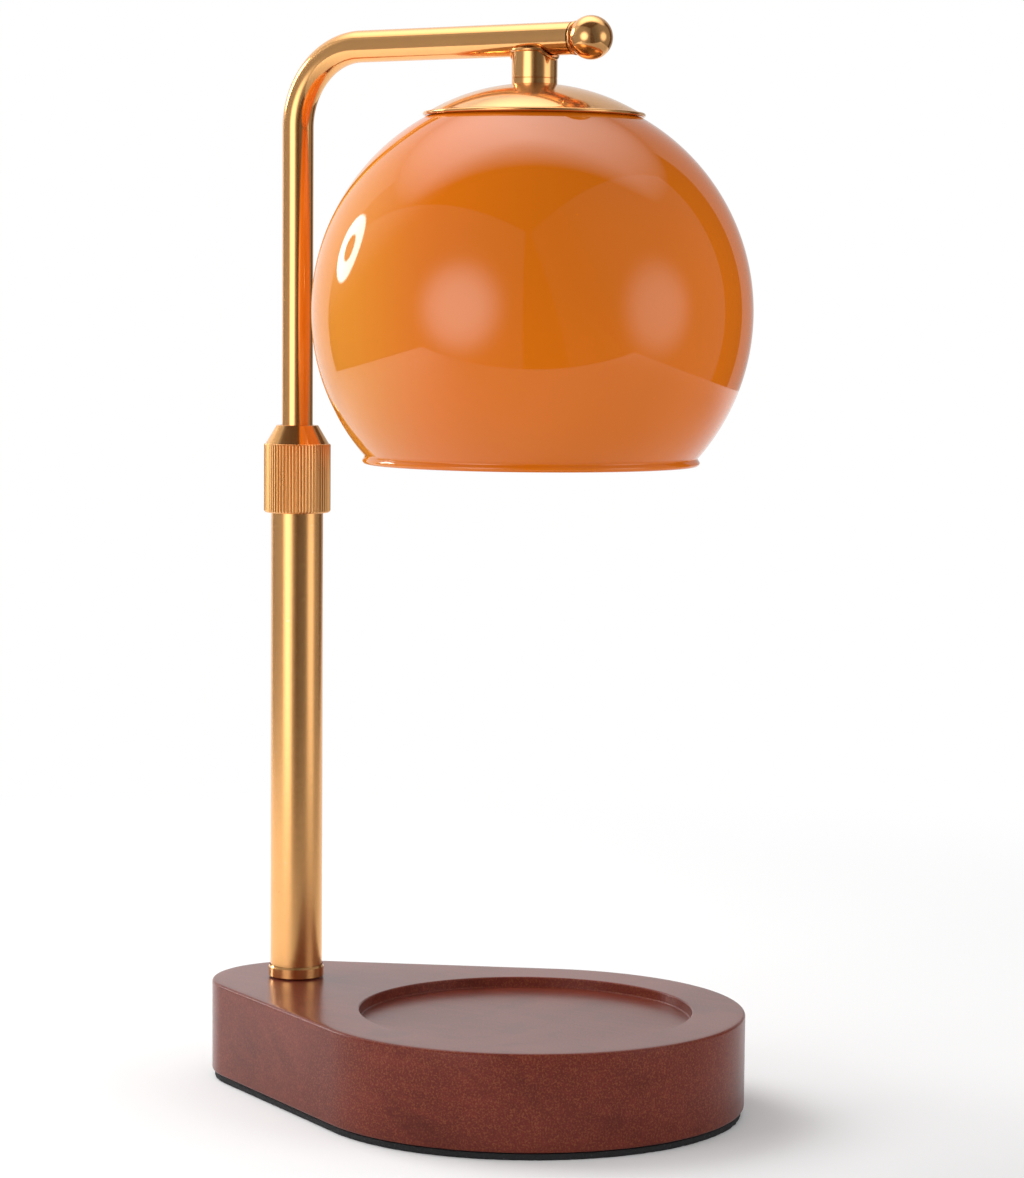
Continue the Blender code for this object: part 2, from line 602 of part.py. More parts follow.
def make_clamp(shop, paints):
    """Threaded clamp body, split double-taper collet and knurled nut."""
    seat_low = COLLET_SMALL_R + GAP
    seat_high = COLLET_LARGE_R + GAP
    shoulder_z = LOWER_TUBE_TOP + GAP
    profile = [
        (CLAMP_THREAD_R, CLAMP_TOP),
        (CLAMP_THREAD_R, shoulder_z + CLAMP_SHOULDER),
        (CLAMP_SHOULDER_R, shoulder_z + CLAMP_SHOULDER),
        (CLAMP_SHOULDER_R, shoulder_z),
        (PLUG_R, shoulder_z),
        (PLUG_R, CLAMP_BOTTOM),
        (CLAMP_BORE_R, CLAMP_BOTTOM),
        (CLAMP_BORE_R, COLLET_Z - GAP),
        (seat_low, COLLET_Z - GAP),
        (seat_high, CLAMP_TOP),
    ]
    profile = [(r, z - LOWER_TUBE_TOP) for r, z in profile]
    body = shop.turned("clamp_body", profile, STEPS_MEDIUM, location=(POLE_X, 0.0, LOWER_TUBE_TOP))
    shop.finish(body, paints["gold"])

    rise = COLLET_TOP - COLLET_Z
    profile = [
        (COLLET_SMALL_R, rise),
        (COLLET_LARGE_R, rise - COLLET_UPPER_TAPER),
        (COLLET_LARGE_R, COLLET_LOWER_TAPER),
        (COLLET_SMALL_R, 0.0),
        (COLLET_BORE_R, 0.0),
        (COLLET_BORE_R, rise),
    ]
    collet = shop.turned("clamp_collet", profile, STEPS_MEDIUM, location=(POLE_X, 0.0, COLLET_Z))
    for i in range(COLLET_SLITS):
        angle = 2 * pi * i / COLLET_SLITS
        stop = 0.0 if i == 0 else COLLET_BRIDGE
        height = rise + 2 * OVERRUN
        from_top = i % 2 == 0
        shift = stop + height / 2 if from_top else rise - stop - height / 2
        shift = rise / 2 if i == 0 else shift
        size = (COLLET_LARGE_R + OVERRUN, COLLET_SLIT, height)
        reach = size[0] / 2
        place = (POLE_X + reach * cos(angle), reach * sin(angle), COLLET_Z + shift)
        slit = shop.block(f"collet_slit_{i}", size, location=place, turn=(0.0, 0.0, angle), cutter=True)
        shop.combine(collet, slit)
    shop.finish(collet, paints["nylon"])

    knurl_top = NUT_HEIGHT - NUT_CONE_HEIGHT
    skirt_r = LOWER_TUBE_R + RUNNING_GAP
    thread_r = CLAMP_THREAD_R + THREAD_CLEARANCE
    thread_z = LOWER_TUBE_TOP + GAP + CLAMP_SHOULDER + GAP - NUT_Z
    cone_low_z = COLLET_SHOULDER_Z - NUT_Z
    cone_high_z = COLLET_TOP - NUT_Z
    blank_r = NUT_RIDGE_R + GAP
    corner = (NUT_RIDGE_R - NUT_BOTTOM_ROUND, NUT_BOTTOM_ROUND)
    profile = [
        (NUT_CONE_TOP_R, NUT_HEIGHT),
        (NUT_CONE_FOOT_R, knurl_top),
        (blank_r, knurl_top - GAP),
        (blank_r, NUT_BOTTOM_ROUND),
    ]
    profile += arc(corner, NUT_BOTTOM_ROUND, 0.0, -pi / 2, 3)[1:]
    profile += [
        (skirt_r, 0.0),
        (skirt_r, thread_z),
        (thread_r, thread_z),
        (thread_r, CLAMP_TOP + GAP - NUT_Z),
        (COLLET_LARGE_R + GAP, cone_low_z),
        (COLLET_SMALL_R + GAP, cone_high_z),
        (CLAMP_BORE_R, cone_high_z + GAP),
        (CLAMP_BORE_R, NUT_HEIGHT),
    ]
    place = (POLE_X, 0.0, NUT_Z)
    nut = shop.turned("clamp_nut", profile, STEPS_LARGE, location=place)
    star = []
    for i in range(NUT_RIBS):
        pitch = 2 * pi / NUT_RIBS
        half_crest = pitch * RIB_CREST_SHARE / 2
        for angle, radius in (
            (-half_crest, NUT_RIDGE_R),
            (half_crest, NUT_RIDGE_R),
            (pitch / 2, NUT_VALLEY_R),
        ):
            turn = i * pitch + angle
            star.append((radius * cos(turn), radius * sin(turn)))
    place = (POLE_X, 0.0, NUT_Z - OVERRUN)
    ribs = shop.slab("knurl_form", star, NUT_HEIGHT + 2 * OVERRUN, location=place, cutter=True)
    shop.combine(nut, ribs, "INTERSECT")
    shop.finish(nut, paints["satin_gold"], crease=20.0)


def arm_line(start_z, end_x, steps=9):
    """Centre line of the upper stage: up the pole, round the bend, along the arm."""
    centre = (POLE_X + ARM_BEND_R, ARM_HEIGHT - ARM_BEND_R)
    bend = arc(centre, ARM_BEND_R, pi, pi / 2, steps)
    line = [(POLE_X, 0.0, start_z)]
    line += [(x, 0.0, z) for x, z in bend]
    line.append((end_x, 0.0, ARM_HEIGHT))
    return line


def make_arm(shop, paints):
    """Bent upper tube, its guide bush and the ball that ends it."""
    line = arm_line(ARM_TUBE_Z, ARM_END_X)
    tube = shop.tube("arm_tube", line, ARM_R, 18)
    inner = arm_line(ARM_TUBE_Z - OVERRUN, ARM_END_X + OVERRUN)
    bore = shop.tube("arm_bore_cut", inner, ARM_BORE_R, 10, cutter=True)
    shop.combine(tube, bore)
    depth = ARM_R + OVERRUN
    place = (RECESS_X, 0.0, ARM_HEIGHT - depth)
    drop = shop.rod("arm_drop_cut", ROD_BORE_R, depth, STEPS_TINY, location=place, cutter=True)
    shop.combine(tube, drop)
    shop.finish(tube, paints["gold"])

    height = GUIDE_LIP + GAP + GUIDE_SLEEVE
    grip = ARM_R + GAP
    profile = [
        (GUIDE_R, height),
        (GUIDE_R, 0.0),
        (LEAD_BORE_R, 0.0),
        (LEAD_BORE_R, GUIDE_LIP),
        (grip, GUIDE_LIP),
        (grip, height),
    ]
    bush = shop.turned("guide_bush", profile, STEPS_MEDIUM, location=(POLE_X, 0.0, GUIDE_Z))
    shop.finish(bush, paints["nylon"])

    collar_start = BALL_COLLAR_END_X - BALL_COLLAR - BALL_X
    spigot_start = collar_start - BALL_SPIGOT
    spigot_r = ARM_BORE_R - GAP
    first = pi - asin(BALL_COLLAR_R / BALL_R)
    round_ball = arc((0.0, 0.0), BALL_R, pi / 2, pi / 2 - first, 10)
    profile = [(0.0, BALL_R)] + round_ball[1:]
    edge = BALL_COLLAR_END_X - BALL_X
    groove = BALL_COLLAR_R - GAP
    profile += [
        (groove, edge - BALL_COLLAR / 3),
        (BALL_COLLAR_R, edge - BALL_COLLAR * 2 / 3),
        (ARM_R, collar_start),
        (spigot_r, collar_start),
        (spigot_r, spigot_start),
        (0.0, spigot_start),
    ]
    ball = shop.turned(
        "ball_finial",
        profile,
        STEPS_MEDIUM,
        closed=False,
        location=(BALL_X, 0.0, ARM_HEIGHT),
        turn=(0.0, pi / 2, 0.0),
    )
    shop.finish(ball, paints["gold"])


def make_stub(shop, paints):
    """Drop stub, coped to the arm with a raised brazed lip, and its collar."""
    rod_r = ROD_R + GAP
    profile = [(ROD_BORE_R, STUB_TOP), (STUB_R - STUB_ROUND, STUB_TOP)]
    profile += arc((STUB_R - STUB_ROUND, STUB_TOP - STUB_ROUND), STUB_ROUND, pi / 2, 0.0, 5)[1:]
    profile += [
        (STUB_R, STUB_Z),
        (rod_r, STUB_Z),
        (rod_r, STUB_BORE_TOP),
        (ROD_BORE_R, STUB_BORE_TOP),
    ]
    profile = [(r, z - STUB_Z) for r, z in profile]
    stub = shop.turned("drop_stub", profile, STEPS_LARGE, location=(RECESS_X, 0.0, STUB_Z))

    reach = ARM_R + GAP + SADDLE_BEAD_R
    lip = []
    for i in range(STEPS_LARGE):
        turn = 2 * pi * i / STEPS_LARGE
        side = STUB_R * sin(turn)
        drop = sqrt(max(reach**2 - side**2, 0.0))
        drop = max(drop, STUB_SHOULDER_DROP + SADDLE_BEAD_R)
        lip.append((STUB_R * cos(turn), side, -drop))
    place = (RECESS_X, 0.0, ARM_HEIGHT)
    bead = shop.tube("saddle_bead", lip, SADDLE_BEAD_R, 6, loop=True, location=place, cutter=True)
    shop.combine(stub, bead, "UNION")

    length = 4 * STUB_R
    place = (RECESS_X - length / 2, 0.0, ARM_HEIGHT)
    cope = shop.rod("cope_cut", SADDLE_R, length, STEPS_LARGE, location=place, turn=(0.0, pi / 2, 0.0), cutter=True)
    shop.combine(stub, cope)
    shop.finish(stub, paints["gold"])

    profile = washer_profile(STUB_R, ROD_R + GAP, STUB_COLLAR)
    collar = shop.turned("stub_collar", profile, STEPS_LARGE, location=(RECESS_X, 0.0, COLLAR_Z))
    shop.finish(collar, paints["gold"])


def make_shade(shop, paints):
    """Glass globe, the metal dome over it, and what clamps the glass inside."""
    centre = SHADE_CENTRE_HEIGHT
    place = (RECESS_X, 0.0, centre)
    lip_bottom = -SHADE_FOOT_DROP - SHADE_LIP_HEIGHT
    lip_z = lip_bottom + SHADE_LIP_ROUND
    inner_lip_r = SHADE_LIP_R - SHADE_WALL
    outer = sphere_points(SHADE_R, 0.0, SHADE_HOLE_R, SHADE_FOOT_R, 12, upper_end=False)
    seat = sphere_points(SHADE_INNER_R, 0.0, SHADE_HOLE_R, PLATE_R, 4)
    inner = sphere_points(SHADE_INNER_R, 0.0, PLATE_R, inner_lip_r, 7, upper_end=False)
    rim = arc((SHADE_LIP_R - SHADE_LIP_ROUND, lip_z), SHADE_LIP_ROUND, 0.0, -pi / 2, 3)
    profile = outer + [(SHADE_NECK_R, -SHADE_FOOT_DROP - GAP)] + rim
    profile += [(inner_lip_r + GAP, lip_bottom), (inner_lip_r, lip_bottom + GAP)]
    profile += list(reversed(seat[:-1] + inner))
    shade = shop.turned("glass_shade", profile, STEPS_LARGE, location=place)
    shop.finish(shade, paints["shade"])

    outward = acos(DOME_BEAD_AT_R / DOME_CURVE_R)
    edge = arc((DOME_BEAD_AT_R, DOME_BEAD_Z), DOME_BEAD_R, outward + pi / 4, outward - pi, 5)
    outer = sphere_points(DOME_CURVE_R, DOME_CURVE_Z, LAND_R, DOME_R - 3 * DOME_BEAD_R, 6)
    inner_r = DOME_CURVE_R - DOME_SHEET
    inner = sphere_points(inner_r, DOME_CURVE_Z, LAND_R, DOME_R - 2 * DOME_BEAD_R, 4)
    hole_r = ROD_R + GAP
    profile = [(hole_r, outer[0][1])] + outer + edge + list(reversed(inner))
    profile.append((hole_r, inner[0][1]))
    dome = shop.turned("dome_cap", profile, STEPS_LARGE, location=place)
    shop.finish(dome, paints["gold"])

    outer = sphere_points(GASKET_OUTER_R, 0.0, GASKET_HOLE_R, GASKET_EDGE_R, 3)
    inner = sphere_points(GASKET_INNER_R, 0.0, GASKET_HOLE_R, GASKET_EDGE_R, 3)
    gasket = shop.turned("shade_gasket", outer + list(reversed(inner)), STEPS_MEDIUM, location=place)
    shop.finish(gasket, paints["silicone"])

    outer = sphere_points(PLATE_OUTER_R, 0.0, ROD_R + GAP, PLATE_R, 4)
    inner = sphere_points(PLATE_INNER_R, 0.0, ROD_R + GAP, PLATE_R, 4)
    plate = shop.turned("shade_plate", outer + list(reversed(inner)), STEPS_MEDIUM, location=place)
    shop.finish(plate, paints["steel"])

    profile = washer_profile(ROD_R, ROD_BORE_R, TOP_ROD_TOP - TOP_ROD_Z)
    rod = shop.turned("shade_rod", profile, STEPS_SMALL, location=(RECESS_X, 0.0, TOP_ROD_Z))
    shop.finish(rod, paints["steel"])
    make_hex_nut(shop, "shade_nut", SHADE_NUT_HEIGHT, (RECESS_X, 0.0, SHADE_NUT_Z), paints["steel"])
    make_hex_nut(shop, "bracket_nut", BRACKET_NUT_HEIGHT, (RECESS_X, 0.0, BRACKET_NUT_Z), paints["steel"])


def make_holder(shop, paints):
    """Bent strap bracket, ceramic lamp holder and the two screws between them."""
    half = HOLDER_R + GAP + STRAP_THICKNESS
    leg_end = SCREW_Z - LEG_BELOW_SCREW
    inside = STRAP_BEND_R
    outside = STRAP_BEND_R + STRAP_THICKNESS
    turn_z = STRAP_TOP - outside
    right_out = arc((half - outside, turn_z), outside, 0.0, pi / 2, 6)
    left_out = arc((outside - half, turn_z), outside, pi / 2, pi, 6)
    left_in = arc((outside - half, turn_z), inside, pi, pi / 2, 6)
    right_in = arc((half - outside, turn_z), inside, pi / 2, 0.0, 6)
    outline = [(half, leg_end)] + right_out + left_out + [(-half, leg_end)]
    outline += [(STRAP_THICKNESS - half, leg_end)] + left_in + right_in
    outline += [(half - STRAP_THICKNESS, leg_end)]
    outline = [(y, z - STRAP_TOP) for y, z in outline]
    place = (RECESS_X - STRAP_WIDTH / 2, 0.0, STRAP_TOP)
    upright = (pi / 2, 0.0, pi / 2)
    strap = shop.slab("holder_bracket", outline, STRAP_WIDTH, location=place, turn=upright)
    hole_place = (RECESS_X, 0.0, STRAP_TOP - OVERRUN)
    hole = shop.rod("strap_hole_cut", ROD_R + GAP, 2 * OVERRUN, location=hole_place, cutter=True)
    shop.combine(strap, hole)

    profile = [
        (HOLDER_WAIST_R - HOLDER_EDGE, HOLDER_HEIGHT),
        (HOLDER_WAIST_R, HOLDER_HEIGHT - HOLDER_EDGE),
        (HOLDER_WAIST_R, HOLDER_HEIGHT - HOLDER_WAIST_HEIGHT),
        (HOLDER_R, HOLDER_HEIGHT - HOLDER_WAIST_HEIGHT),
        (HOLDER_R, HOLDER_EDGE),
        (HOLDER_R - HOLDER_EDGE, 0.0),
    ]
    profile = [(0.0, HOLDER_HEIGHT)] + profile + [(0.0, 0.0)]
    holder = shop.turned("lamp_holder", profile, STEPS_MEDIUM, closed=False, location=(RECESS_X, 0.0, HOLDER_Z))
    for side in (-1, 1):
        socket_place = (RECESS_X + side * SOCKET_PITCH / 2, 0.0, HOLDER_Z - OVERRUN)
        socket = shop.rod(
            f"socket_cut_{side}",
            PIN_HEAD_R + GAP,
            SOCKET_DEPTH + OVERRUN,
            STEPS_TINY,
            location=socket_place,
            cutter=True,
        )
        shop.combine(holder, socket)
        start = side * (half + OVERRUN)
        facing = (side * pi / 2, 0.0, 0.0)
        bore = shop.rod(
            f"screw_cut_{side}",
            SCREW_R + SCREW_CLEARANCE,
            OVERRUN + STRAP_THICKNESS + GAP + SCREW_DEPTH + GAP,
            STEPS_TINY,
            location=(RECESS_X, start, SCREW_Z),
            turn=facing,
            cutter=True,
        )
        shop.combine(holder, bore)
        shop.combine(strap, bore)
        reach = STRAP_THICKNESS + 2 * GAP + SCREW_DEPTH
        profile = [
            (0.0, SCREW_HEAD),
            (SCREW_HEAD_R * cos(pi / 4), SCREW_HEAD),
            (SCREW_HEAD_R, SCREW_HEAD / 2),
            (SCREW_HEAD_R, 0.0),
            (SCREW_R, 0.0),
            (SCREW_R, -reach),
            (0.0, -reach),
        ]
        name = "holder_screw_left" if side < 0 else "holder_screw_right"
        outward = (-side * pi / 2, 0.0, 0.0)
        screw = shop.turned(
            name,
            profile,
            STEPS_TINY,
            closed=False,
            location=(RECESS_X, side * (half + GAP), SCREW_Z),
            turn=outward,
        )
        shop.finish(screw, paints["steel"])
    shop.finish(strap, paints["steel"])
    shop.finish(holder, paints["ceramic"])


def make_lamp(shop, paints):
    """Two-pin reflector lamp: cap, pins, capsule, mirrored bowl and front lens."""
    bore_z = CAP_HEIGHT - CAP_ROOF
    profile = [
        (0.0, CAP_HEIGHT),
        (CAP_R, CAP_HEIGHT),
        (CAP_R, bore_z),
        (CAP_NECK_R, 0.0),
        (CAP_BORE_R, 0.0),
        (CAP_BORE_R, bore_z),
        (0.0, bore_z),
    ]
    place = (RECESS_X, 0.0, LAMP_CAP_Z)
    cap = shop.turned("lamp_cap", profile, STEPS_MEDIUM, closed=False, location=place)
    for side in (-1, 1):
        pin_x = RECESS_X + side * SOCKET_PITCH / 2
        pocket = shop.rod(
            f"pin_pocket_cut_{side}",
            PIN_STEM_R + GAP,
            PIN_ROOT + GAP + OVERRUN,
            STEPS_TINY,
            location=(pin_x, 0.0, LAMP_CAP_TOP - PIN_ROOT - GAP),
            cutter=True,
        )
        shop.combine(cap, pocket)
        profile = [
            (0.0, PIN_LENGTH),
            (PIN_HEAD_R, PIN_LENGTH),
            (PIN_HEAD_R, PIN_LENGTH - PIN_HEAD),
            (PIN_STEM_R, PIN_LENGTH - PIN_HEAD),
            (PIN_STEM_R, -PIN_ROOT),
            (0.0, -PIN_ROOT),
        ]
        name = "lamp_pin_left" if side < 0 else "lamp_pin_right"
        pin = shop.turned(name, profile, STEPS_TINY, closed=False, location=(pin_x, 0.0, LAMP_CAP_TOP))
        shop.finish(pin, paints["steel"])
    shop.finish(cap, paints["ceramic"])

    throat_r = CAPSULE_R + 2 * GAP
    neck_r = CAP_NECK_R - GAP
    rim_r = REFLECTOR_R - REFLECTOR_GLASS
    outer = []
    inner = []
    count = 6
    for i in range(count):
        share = i / (count - 1)
        bow = share**REFLECTOR_BOW_SHARE
        z = REFLECTOR_DEPTH - share * (REFLECTOR_DEPTH - REFLECTOR_RIM)
        outer.append((neck_r + (REFLECTOR_R - neck_r) * bow, z))
        inner.append((throat_r + (rim_r - throat_r) * bow, z))
    profile = outer + [(REFLECTOR_R, 0.0), (rim_r, 0.0)] + list(reversed(inner))
    place = (RECESS_X, 0.0, REFLECTOR_Z)
    bowl = shop.turned("lamp_reflector", profile, STEPS_MEDIUM, location=place)
    shop.finish(bowl, paints["reflector"])

    lens_r = rim_r - GAP
    crown = []
    for i in range(5):
        share = i / 4
        crown.append((lens_r * share, -LENS_CROWN * (1 - share**2)))
    profile = [(0.0, LENS_THICKNESS), (lens_r, LENS_THICKNESS)] + list(reversed(crown))
    lens = shop.turned("lamp_lens", profile, STEPS_MEDIUM, closed=False, location=place)
    shop.finish(lens, paints["glass"])

    nose = arc((0.0, CAPSULE_R), CAPSULE_R, 0.0, -pi / 2, 6)
    profile = [(0.0, CAPSULE_LENGTH), (CAPSULE_R, CAPSULE_LENGTH)] + nose
    profile[-1] = (0.0, 0.0)
    capsule_z = LAMP_CAP_Z + bore_z - GAP - CAPSULE_LENGTH
    place = (RECESS_X, 0.0, capsule_z)
    capsule = shop.turned("lamp_capsule", profile, STEPS_SMALL, closed=False, location=place)
    shop.finish(capsule, paints["glass"])


def eased(share):
    """A smooth rise from 0 to 1, flat at both ends."""
    return (1 - cos(pi * min(max(share, 0.0), 1.0))) / 2


def make_lead(shop, paints):
    """The lead inside the lamp: in the base, slack in the lower tube, in the arm."""
    start_x = BUSHING_FACE_X + BUSHING_FLANGE
    mouth_x = POLE_X - CAVITY_R + GAP
    low_x = POLE_X - LEAD_BASE_TURN_R
    low_z = LEAD_HOLE_Z - LEAD_BASE_FALL
    route = [(start_x, 0.0, LEAD_HOLE_Z)]
    for i in range(LEAD_POINTS):
        share = i / LEAD_POINTS
        x = mouth_x + (low_x - mouth_x) * share
        route.append((x, 0.0, LEAD_HOLE_Z - LEAD_BASE_FALL * eased(share)))
    turn_up = arc((low_x, low_z + LEAD_BASE_TURN_R), LEAD_BASE_TURN_R, -pi / 2, 0.0, LEAD_POINTS)
    route += [(x, 0.0, z) for x, z in turn_up]
    route.append((POLE_X, 0.0, COIL_Z - GAP))
    shop.finish(shop.tube("base_lead", route, LEAD_R), paints["lead"])

    low = COIL_Z
    high = COIL_TOP
    lead_in = 2 * LEAD_R
    count = COIL_TURNS * COIL_POINTS_A_TURN
    coil = [(POLE_X, 0.0, low)]
    for i in range(count + 1):
        share = i / count
        fade = eased(min(share, 1 - share) / COIL_FADE_SHARE)
        turn = 2 * pi * COIL_TURNS * share
        z = low + lead_in + (high - low - 2 * lead_in) * share
        coil.append((POLE_X + COIL_R * fade * cos(turn), COIL_R * fade * sin(turn), z))
    coil.append((POLE_X, 0.0, high))
    shop.finish(shop.tube("slack_lead", coil, LEAD_R, 6), paints["lead"])

    line = arm_line(COIL_TOP + GAP, RECESS_X - LEAD_ARM_TURN_R)
    centre = (RECESS_X - LEAD_ARM_TURN_R, ARM_HEIGHT - LEAD_ARM_TURN_R)
    turn_down = arc(centre, LEAD_ARM_TURN_R, pi / 2, 0.0, LEAD_POINTS)[1:]
    line += [(x, 0.0, z) for x, z in turn_down]
    line.append((RECESS_X, 0.0, FORK_Z))
    shop.finish(shop.tube("arm_lead", line, LEAD_R), paints["lead"])

    top = FORK_Z - GAP
    low = HOLDER_TOP + GAP
    root = CORE_R + GAP
    for side in (-1, 1):
        name = "holder_wire_left" if side < 0 else "holder_wire_right"
        route = [(RECESS_X + side * root, 0.0, top)]
        for i in range(LEAD_POINTS):
            share = i / (LEAD_POINTS - 1)
            x = RECESS_X + side * (root + (CORE_SPREAD - root) * eased(share))
            route.append((x, 0.0, top - CORE_R + (low - top + 2 * CORE_R) * share))
        route.append((RECESS_X + side * CORE_SPREAD, 0.0, low))
        wire = shop.tube(name, route, CORE_R, 6)
        shop.finish(wire, paints["silicone"])


def main():
    clear_scene()
    shop = Workshop()
    paints = make_paints()
    make_base(shop, paints)
    make_pole_foot(shop, paints)
    make_clamp(shop, paints)
    make_arm(shop, paints)
    make_stub(shop, paints)
    make_shade(shop, paints)
    make_holder(shop, paints)
    make_lamp(shop, paints)
    make_lead(shop, paints)


main()
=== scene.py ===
"""Looks of the candle warmer lamp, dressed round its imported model.

Metres, +Z up. +X runs from the pole to the recess, and the pieces stand where
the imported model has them.
"""

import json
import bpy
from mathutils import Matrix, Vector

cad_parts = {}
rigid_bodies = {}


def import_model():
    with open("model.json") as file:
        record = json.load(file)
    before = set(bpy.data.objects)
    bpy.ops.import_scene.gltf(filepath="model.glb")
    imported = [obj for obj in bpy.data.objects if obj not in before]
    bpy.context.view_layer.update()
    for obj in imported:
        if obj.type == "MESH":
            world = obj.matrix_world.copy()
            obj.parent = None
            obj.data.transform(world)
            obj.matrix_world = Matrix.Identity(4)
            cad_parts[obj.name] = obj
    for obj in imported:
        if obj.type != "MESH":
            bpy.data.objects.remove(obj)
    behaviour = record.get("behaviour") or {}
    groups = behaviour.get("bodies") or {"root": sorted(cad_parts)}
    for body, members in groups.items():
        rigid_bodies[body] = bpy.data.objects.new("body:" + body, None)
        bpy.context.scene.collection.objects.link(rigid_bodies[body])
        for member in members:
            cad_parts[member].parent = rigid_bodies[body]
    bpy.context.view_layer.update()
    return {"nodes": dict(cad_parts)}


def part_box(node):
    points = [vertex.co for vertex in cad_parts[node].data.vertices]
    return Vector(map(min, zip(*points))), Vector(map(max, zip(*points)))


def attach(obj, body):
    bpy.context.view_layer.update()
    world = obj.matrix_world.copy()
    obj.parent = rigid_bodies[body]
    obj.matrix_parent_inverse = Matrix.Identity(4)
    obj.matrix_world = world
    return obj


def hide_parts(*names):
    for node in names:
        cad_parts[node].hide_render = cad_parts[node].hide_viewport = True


bl_info = {
    "name": "Candle Warmer Lamp",
    "version": (1, 0, 0),
    "blender": (4, 5, 0),
    "location": "View3D > Sidebar > Lamp",
    "description": "Dresses a candle warmer lamp with its detailed pieces and sets its studio",
    "category": "Object",
}

from math import acos, asin, cos, hypot, pi, radians, sin, sqrt
from random import Random

import bmesh
import bpy
from bpy.props import FloatProperty, FloatVectorProperty, IntProperty, PointerProperty
from mathutils import Matrix, Vector

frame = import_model()

GAP = 0.0003  # between neighbouring pieces
SEAM = 0.00005  # hairline left at a soldered seam
SOFT = 0.0001  # smallest softened edge
TINY = 0.0000001  # points nearer than this are welded
OVERRUN = 0.004  # how far a cutter stands out of what it cuts
AROUND = 128  # steps round a small turned piece
WIDE_AROUND = 160
GLOBE_AROUND = 192
FACING = 33.92  # the camera's heading, in degrees from -Y towards +X
CAMERA_TILT = 6.39  # degrees that it looks down
CAMERA_ROLL = 0.52
CAMERA_PLACE = (0.6360, -0.9192, 0.2544)
HAZE_ROUGHNESS = 0.5
BLACK = (0.0, 0.0, 0.0, 1.0)
WHITE = (1.0, 1.0, 1.0, 1.0)
SIDEWAYS = Matrix.Rotation(pi / 2, 4, "Y")  # lays what was turned about Z along X


def toward(heading, elevation):
    """Unit vector that way from the lamp. Heading 0 is towards the camera, and 90 is to its right."""
    turn = radians(FACING + heading)
    rise = radians(elevation)
    return Vector((sin(turn) * cos(rise), -cos(turn) * cos(rise), sin(rise)))


def middle(node):
    """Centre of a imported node's box."""
    low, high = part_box(node)
    return (low + high) / 2


def half_width(node):
    """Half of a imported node's size across the lamp."""
    low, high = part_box(node)
    return (high.y - low.y) / 2


POLE_X = middle("lower_tube").x
RECESS_X = middle("glass_shade").x
BOARD_LOW, BOARD_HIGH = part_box("wood_base")
BALL_LOW, BALL_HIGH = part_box("ball_finial")
ARM_Z = (BALL_LOW.z + BALL_HIGH.z) / 2


def length(name, description, default):
    """A size that a user can change."""
    return FloatProperty(name=name, description=description, default=default, unit="LENGTH")


class LampSizes(bpy.types.PropertyGroup):
    """Sizes of the detailed pieces."""

    board_edge: length("Board edge", "Rounding of the base board's edges", 0.0009)
    board_small_radius: length("Board small radius", "Radius of the board's narrow end", 0.0312)
    recess_radius: length("Recess radius", "Radius of the round recess in the board", 0.0524)
    recess_depth: length("Recess depth", "Depth of the round recess in the board", 0.0034)
    recess_round: length(
        "Recess rounding", "Rounding of the recess's edge and of its inner corner", 0.0006
    )
    pad_inset: length("Pad inset", "How far the foam pad stands back from the board", 0.0008)
    tube_wall: length("Lower tube wall", "Wall of the lower tube", 0.0011)
    ring_chamfer: length("Foot ring chamfer", "Chamfer on the top of the foot ring", 0.0007)
    nut_ribs: IntProperty(
        name="Nut ribs",
        description="Number of straight ribs round the clamp nut",
        default=60,
    )
    nut_rib_height: length("Rib height", "Height of the clamp nut's ribs", 0.00045)
    nut_cone_height: length("Cone height", "Height of the smooth cone on the clamp nut", 0.0060)
    nut_cone_foot: length("Cone foot radius", "Radius of the cone where it meets the ribs", 0.0103)
    nut_cone_top: length("Cone top radius", "Radius of the cone's flat top", 0.0067)
    arm_radius: length("Arm tube radius", "Outer radius of the bent tube", 0.0050)
    arm_bend: length("Arm bend radius", "Radius of the bend, at the middle of the tube", 0.0250)
    ball_collar_radius: length(
        "Ball collar radius", "Radius of the thin collar behind the ball", 0.0052
    )
    ball_collar: length("Ball collar length", "Length of the thin collar behind the ball", 0.0016)
    stub_radius: length("Drop stub radius", "Outer radius of the stub under the arm", 0.0070)
    stub_bore: length("Drop stub bore", "Radius of the bore in the stub", 0.0053)
    stub_shoulder_drop: length(
        "Stub shoulder", "How far the stub's shoulder lies below the arm's middle", 0.0027
    )
    stub_bead: length("Brazed lip", "Radius of the raised lip where the stub meets the arm", 0.0006)
    dome_tighter: length(
        "Dome curve", "How much smaller the radius of the dome's curve is than the shade's", 0.0042
    )
    dome_sheet: length("Dome sheet", "Thickness of the dome's sheet metal", 0.0006)
    dome_bead: length("Dome edge", "Radius of the dome's rolled edge", 0.0006)
    shade_radius: length("Shade radius", "Outer radius of the glass globe", 0.0682)
    shade_hole: length("Shade hole radius", "Radius of the hole in the top of the globe", 0.0140)
    shade_wall: length("Shade wall", "Thickness of the glass", 0.0025)
    shade_lip: length("Shade lip", "Height of the straight lip round the shade's mouth", 0.0026)
    bowl_glass: length("Reflector glass", "Thickness of the reflector lamp's glass", 0.0015)


